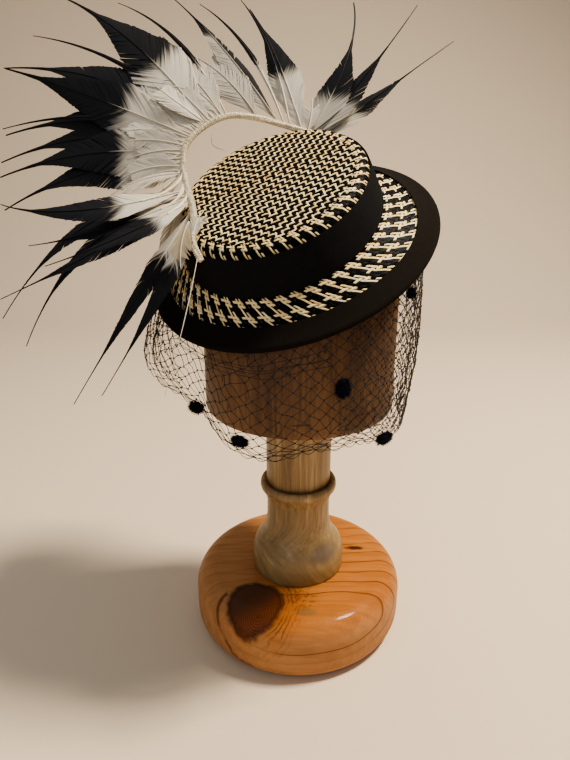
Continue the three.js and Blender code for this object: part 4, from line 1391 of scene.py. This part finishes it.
def knots(name, places, radius):
    """A small eight-sided knot at each place, as one mesh."""
    corners = np.array([(1, 0, 0), (-1, 0, 0), (0, 1, 0), (0, -1, 0), (0, 0, 1), (0, 0, -1)]) * radius
    triangles = [(0, 2, 4), (2, 1, 4), (1, 3, 4), (3, 0, 4), (2, 0, 5), (1, 2, 5), (3, 1, 5), (0, 3, 5)]
    points = (np.asarray(places)[:, None] + corners).reshape(-1, 3)
    faces = [tuple(6 * k + i for i in triangle) for k in range(len(places)) for triangle in triangles]
    return new_mesh(name, points * mm, faces)


def net_layer(first, last, columns, outward, wobble, seed, lift=5.0, slant=0.0):
    """Ties, hem loops and knots of net between two of the hat's angles in degrees, columns half cells wide."""
    own = np.random.default_rng(seed)
    angles = np.radians(np.linspace(first, last, columns + 1))
    step = math.radians(abs(last - first)) / columns
    _, fall = veil_point(angles, 0 * angles)
    heights = lift + np.r_[hem_heights, hem_heights[-1] + row_rise * np.arange(1, int(fall.max() / row_rise) + 2)]
    grid, cut, lines, loops = {}, set(), [], []
    for j, height in enumerate(heights):
        uneven = own.normal(0, wobble, (3, columns + 1))
        share = 1 - (height + uneven[1] * row_rise * 0.5 * (j > 0)) / fall
        moved = angles + uneven[0] * step * 0.6 + math.radians(slant) * j / len(heights)
        bunch = np.exp(-((np.degrees(angles) - bunch_at) / bunch_reach) ** 2) * np.clip(3 * share, 0, 1)
        here, _ = veil_point(moved, np.clip(share, 0, 1.02), outward + bunch_out * bunch + uneven[2] * 1.3)
        for i in range(columns + 1):
            if (i + j) % 2 == 0:
                grid[i, j] = here[i]
                if share[i] <= 0:
                    cut.add((i, j))
    for (i, j), point in grid.items():
        for other in ((i - 1, j + 1), (i + 1, j + 1)):
            if other in grid and not ((i, j) in cut and other in cut):
                bend = (point + grid[other]) / 2 + own.normal(0, 0.35, 3)
                lines.append([point, bend, grid[other]])
        if j == 0 and (i + 2, j) in grid:
            end = grid[i + 2, j]
            droop = np.array([0, 0, -0.30 * np.linalg.norm(end - point)])
            loops.append([point + (end - point) * t + droop * math.sin(math.pi * t) for t in np.linspace(0, 1, 7)])
    return lines, loops, [point for key, point in grid.items() if key not in cut]


# %% [markdown]
# In two places the real veil is more than one layer deep: over the block's right half it is folded back on itself,
# and at the left its spare length is bunched beside the block. Each is another stretch of the same net, a little
# inside the first one and more uneven. Some threads gather in long nearly level lines, under the brim at the front
# left and along the hem.

# %% Folds and gathers
layer_rows = [
    {"first": net_first, "last": net_last, "columns": 84, "outward": 0.0, "wobble": 0.3, "seed": 3},
    {"first": -14, "last": -70, "columns": 16, "outward": -5.0, "wobble": 0.5, "seed": 21, "slant": 9, "lift": 11.0},
    {"first": -140, "last": -204, "columns": 24, "outward": -7.0, "wobble": 0.6, "seed": 22, "slant": -9, "lift": 6.0},
]
ties, loops, places = [], [], []
for row in layer_rows:
    for whole, part in zip((ties, loops, places), net_layer(**row)):
        whole.extend(part)
gather_rows = [(0.14, 0.03), (0.17, -0.02), (0.20, 0.015), (0.24, -0.01)]
for share, tilt in gather_rows:
    across = np.linspace(-1, 1, 44)
    angles = np.radians(-108 - 34 * across)
    line, _ = veil_point(angles, share + tilt * across + 0.010 * np.sin(9 * across + 20 * share), -1.0)
    ties.append(line)
hem_band_rows = [(0.935, 0.3, 24), (0.90, 0.5, 31), (0.955, 0.6, 19)]
for share, outward_by, waves in hem_band_rows:
    angles = np.radians(np.linspace(net_first, -150, 200))
    line, _ = veil_point(angles, share + 0.016 * np.sin(angles * waves + 40 * share), outward_by)
    ties.append(line)
net = joined("veil_net", [wires("net_ties", [np.asarray(line) * mm for line in ties], thread_radius),
                          wires("hem_loops", [np.asarray(line) * mm for line in loops], loop_radius),
                          knots("net_knots", places, knot_radius)])
finish_piece(net, "net", "veil_net", "veil")

# %% [markdown]
# A tape on the brim's underside holds the net's upper edge. It hides the cut ends of the threads. It is one more
# strip of ribbon, laid along the line where the net is sewn.

# %% Seam tape
tape_length, tape_width = 440, 10.5
tape = strip("veil_tape", tape_length, tape_width, 200, 4)
flat = points_of(tape)
angle = np.radians(net_first + (net_last - net_first) * flat[:, 0])
edge = hat_to_world(brim_point(angle, 0 * angle + 1, 0 * angle + seam_depth)) / mm
sewn = hem_at(np.degrees(np.arctan2(edge[:, 1], edge[:, 0])), 3)
share = sewn + 1.2 / brim_width(angle) - tape_width * flat[:, 1] / brim_width(angle)
put_points(tape, hat_to_world(brim_point(angle, share, seam_depth + 0.4 + 0 * angle)))
add_modifier(tape, "SOLIDIFY", thickness=0.4 * mm, offset=0)
finish_piece(tape, "band", "ribbon", "veil")

# %% [markdown]
# The dots are chenille: short pile round a soft core. A round core alone would look like a bead, so hundreds of tiny
# tufts stand on it, each a thin three-sided spike of its own length. The core sits where the solid model's dot is.

# %% Chenille dots
tufts_per_dot = 620
core_share = 0.80


def tufts(centre, sizes, axes, count, own):
    """Points and faces of the tufts of one dot, three base corners and a tip each."""
    way = own.normal(0, 1, (count, 3))
    way /= np.linalg.norm(way, axis=1)[:, None]
    world_way = (way * sizes) @ axes
    start = centre + world_way * 0.62
    end = centre + world_way * own.uniform(0.92, 1.24, (count, 1)) + own.normal(0, 0.35, (count, 3))
    side = np.cross(world_way, own.normal(0, 1, (count, 3)))
    side /= np.linalg.norm(side, axis=1)[:, None]
    third = np.cross(side, world_way / np.linalg.norm(world_way, axis=1)[:, None])
    points = np.stack([start + 0.34 * side, start - 0.17 * side + 0.29 * third, start - 0.17 * side - 0.29 * third,
                       end], 1).reshape(-1, 3)
    sides = ((0, 1, 3), (1, 2, 3), (2, 0, 3), (0, 2, 1))
    faces = [tuple(4 * k + i for i in face) for k in range(count) for face in sides]
    return points, faces


dot_sizes = {"veil_dot_1": (6.0, 9.0, 5.4), "veil_dot_2": (4.2, 7.8, 5.4), "veil_dot_3": (4.4, 6.8, 8.4),
             "veil_dot_4": (4.2, 9.6, 5.8), "veil_dot_5": (3.8, 5.2, 4.6)}
dot_names = sorted(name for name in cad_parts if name.startswith("veil_dot_"))
for number, name in enumerate(dot_names):
    low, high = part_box(name)
    centre = np.array((low + high) / 2) / mm
    bearing = math.atan2(centre[1], centre[0])
    out = np.array([math.cos(bearing), math.sin(bearing), 0])
    axes = np.array([out, [-out[1], out[0], 0], [0, 0, 1]])
    sizes = np.array(dot_sizes[name])
    points, faces = tufts(centre, sizes, axes, tufts_per_dot, np.random.default_rng(50 + number))
    pile = new_mesh(f"chenille_{number + 1}", points * mm, faces)
    bpy.ops.object.select_all(action="DESELECT")
    bpy.ops.mesh.primitive_ico_sphere_add(subdivisions=3, radius=1)
    core = bpy.context.object
    put_points(core, (centre + (points_of(core) * sizes * core_share) @ axes) * mm)
    dot = joined(f"chenille_dot_{number + 1}", [core, pile])
    edit(dot, outward)
    finish_piece(dot, "chenille", "chenille", name)
